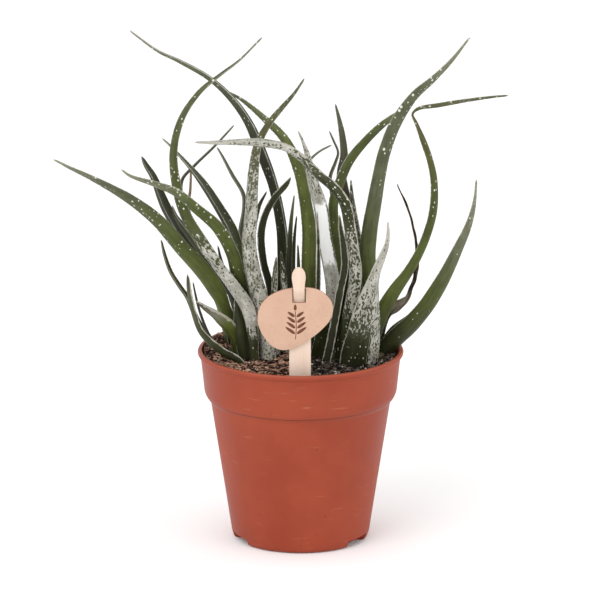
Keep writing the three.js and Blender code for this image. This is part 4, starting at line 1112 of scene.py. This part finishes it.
outline = [np.array(label_place(*p)) for p in BOARD_OUTLINE]
smooth, numbers = spline_rows(outline[-2:] + outline + outline[:3], 8)
keep = (numbers >= 2) & (numbers < 2 + len(outline))
board_loop = [tuple(p) for p in smooth[keep]]
left, right, low, high = SLOT
slot_loop = [label_place(*p) for p in ((left, low), (right, low), (right, high), (left, high))]
board_front = LABEL_DEPTH - BOARD_THICKNESS / 2
kraft = kraft_material()
board = flat_plate("label_card", [board_loop, slot_loop], board_front, BOARD_THICKNESS, 0.12, kraft)
placed(board, "board", "label_board")


def oval(x, z, length, width, angle):
    """An oval with its foot at x and z, fuller towards the foot."""
    c, s = math.cos(math.radians(angle)), math.sin(math.radians(angle))
    loop = []
    for k in range(20):
        t = 2 * math.pi * k / 20
        along = length / 2 * (1 + math.cos(t))
        side = width / 2 * math.sin(t) * (1 - 0.25 * math.cos(t))
        loop.append((x + c * along - s * side, z + s * along + c * side))
    return loop


def sprig():
    """A plain printed sprig: a bent stem with paired oval leaves."""
    foot, low = SPRIG_FOOT
    stem_line = [(foot + 0.5 * math.sin(k * 0.7), low + k * SPRIG_STEP) for k in range(SPRIG_POINTS)]
    loops = [[(x - 0.22, z) for x, z in stem_line] + [(x + 0.22, z) for x, z in stem_line[::-1]]]
    for k, (x, z) in enumerate(stem_line[1:-1]):
        loops.append(oval(x + 0.6, z, 6.8 - 0.6 * k, 1.8, 36))
        loops.append(oval(x - 0.6, z, 6.8 - 0.6 * k, 1.8, 144))
    x, z = stem_line[-1]
    return loops + [oval(x, z + 0.4, 3.6, 1.7, 88)]


prints = [[label_place(x, z) for x, z in loop] for loop in sprig()]
ink = grained("print", 0.7, 0.25, 2200, (0.4, 0.7), (92, 52, 36), (126, 78, 54))
placed(flat_plate("label_print", prints, board_front - 0.05, 0.1, 0.01, ink), "board")


def stick_piece():
    """The stick stands behind the board and its top comes forward through the slot."""
    rows = []
    for left_x, right_x, up in STICK_EDGES:
        (low_x, height), (high_x, _) = label_place(left_x, up), label_place(right_x, up)
        rows.append((height, low_x, high_x))
    _, foot_left, foot_right = rows[0]
    rise, narrowing = STICK_POINT
    rows.insert(0, (STICK_BOTTOM + rise, foot_left, foot_right))
    rows.insert(0, (STICK_BOTTOM, foot_left + narrowing, foot_right - narrowing))
    heights, lefts, rights = np.array(rows).T
    up = np.unique(np.r_[np.linspace(heights[0], 105, 12), np.linspace(105, heights[-1], 90)])
    lefts = np.interp(up, heights, lefts)
    rights = np.interp(up, heights, rights)
    half = STICK_THICKNESS / 2
    section = []
    for cx, cy, start in ((1, -1, -90), (1, 1, 0), (-1, 1, 90), (-1, -1, 180)):
        for k in range(4):
            angle = math.radians(start + 30 * k)
            section.append((cx, cy, math.cos(angle), math.sin(angle)))
    points = []
    for height, left_x, right_x in zip(up, lefts, rights):
        forward = smoothstep(height, slot_loop[0][1], slot_loop[2][1])
        middle = LABEL_DEPTH + STICK_BEHIND * (1 - 2 * forward)
        wide = max((right_x - left_x) / 2, 0.3)
        centre = (left_x + right_x) / 2
        round_off = min(STICK_CORNER, wide * 0.8)
        for cx, cy, c, s in section:
            points.append((centre + cx * (wide - round_off) + c * round_off,
                           middle + cy * (half - STICK_CORNER) + s * STICK_CORNER, height))
    faces = ring_faces(len(up), len(section), False)
    piece = mesh_object("label_stake", points, faces, wood_material())
    piece.data.set_sharp_from_angle(angle=math.radians(50))
    placed(piece, "stick", "label_stick")


stick_piece()

# Studio: pale floor, soft light from the front left, weaker fill from the right
FLOOR = [(-6000, -3000, 0), (6000, -3000, 0), (6000, 6000, 0), (-6000, 6000, 0)]
WORLD_STRENGTH = 1.08
LIGHT_AIM = Vector((0, 0, 0.15))
KEY_POWER = 11
FILL_POWER = 3

matte = grained("studio_floor", 0.9, 0.1, 3, (0.3, 0.7), (250, 250, 250), (253, 253, 253), None, 2)
floor = mesh_object("studio_floor", FLOOR, [(0, 1, 2, 3)], matte, False)
floor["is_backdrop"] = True

world = bpy.data.worlds.new("studio")
world.use_nodes = True
background = world.node_tree.nodes["Background"]
background.inputs["Color"].default_value = (1, 1, 1, 1)
background.inputs["Strength"].default_value = WORLD_STRENGTH
scene.world = world


def area_light(name, place, size, power):
    data = bpy.data.lights.new(name, "AREA")
    data.shape = "RECTANGLE"
    data.size, data.size_y = size
    data.energy = power
    lamp = linked(name, data)
    lamp.location = place
    lamp.rotation_euler = (LIGHT_AIM - Vector(place)).to_track_quat("-Z", "Y").to_euler()


area_light("key", (-0.9, -1.2, 1.3), (1.2, 1.0), KEY_POWER)
area_light("fill", (1.3, -0.9, 0.6), (0.9, 0.9), FILL_POWER)

camera_data = bpy.data.cameras.new("camera")
camera_data.sensor_width = 36
camera_data.lens = LENS
camera_data.clip_start = 0.1
camera_data.clip_end = 30
camera = linked("camera", camera_data)
camera.location = EYE * MM
camera.rotation_euler = Vector((AIM - EYE) * MM).to_track_quat("-Z", "Y").to_euler()
scene.camera = camera

low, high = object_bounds()
sizes = {"cad_box": [list(cad_low), list(cad_high)], "visual_box": [list(low), list(high)]}
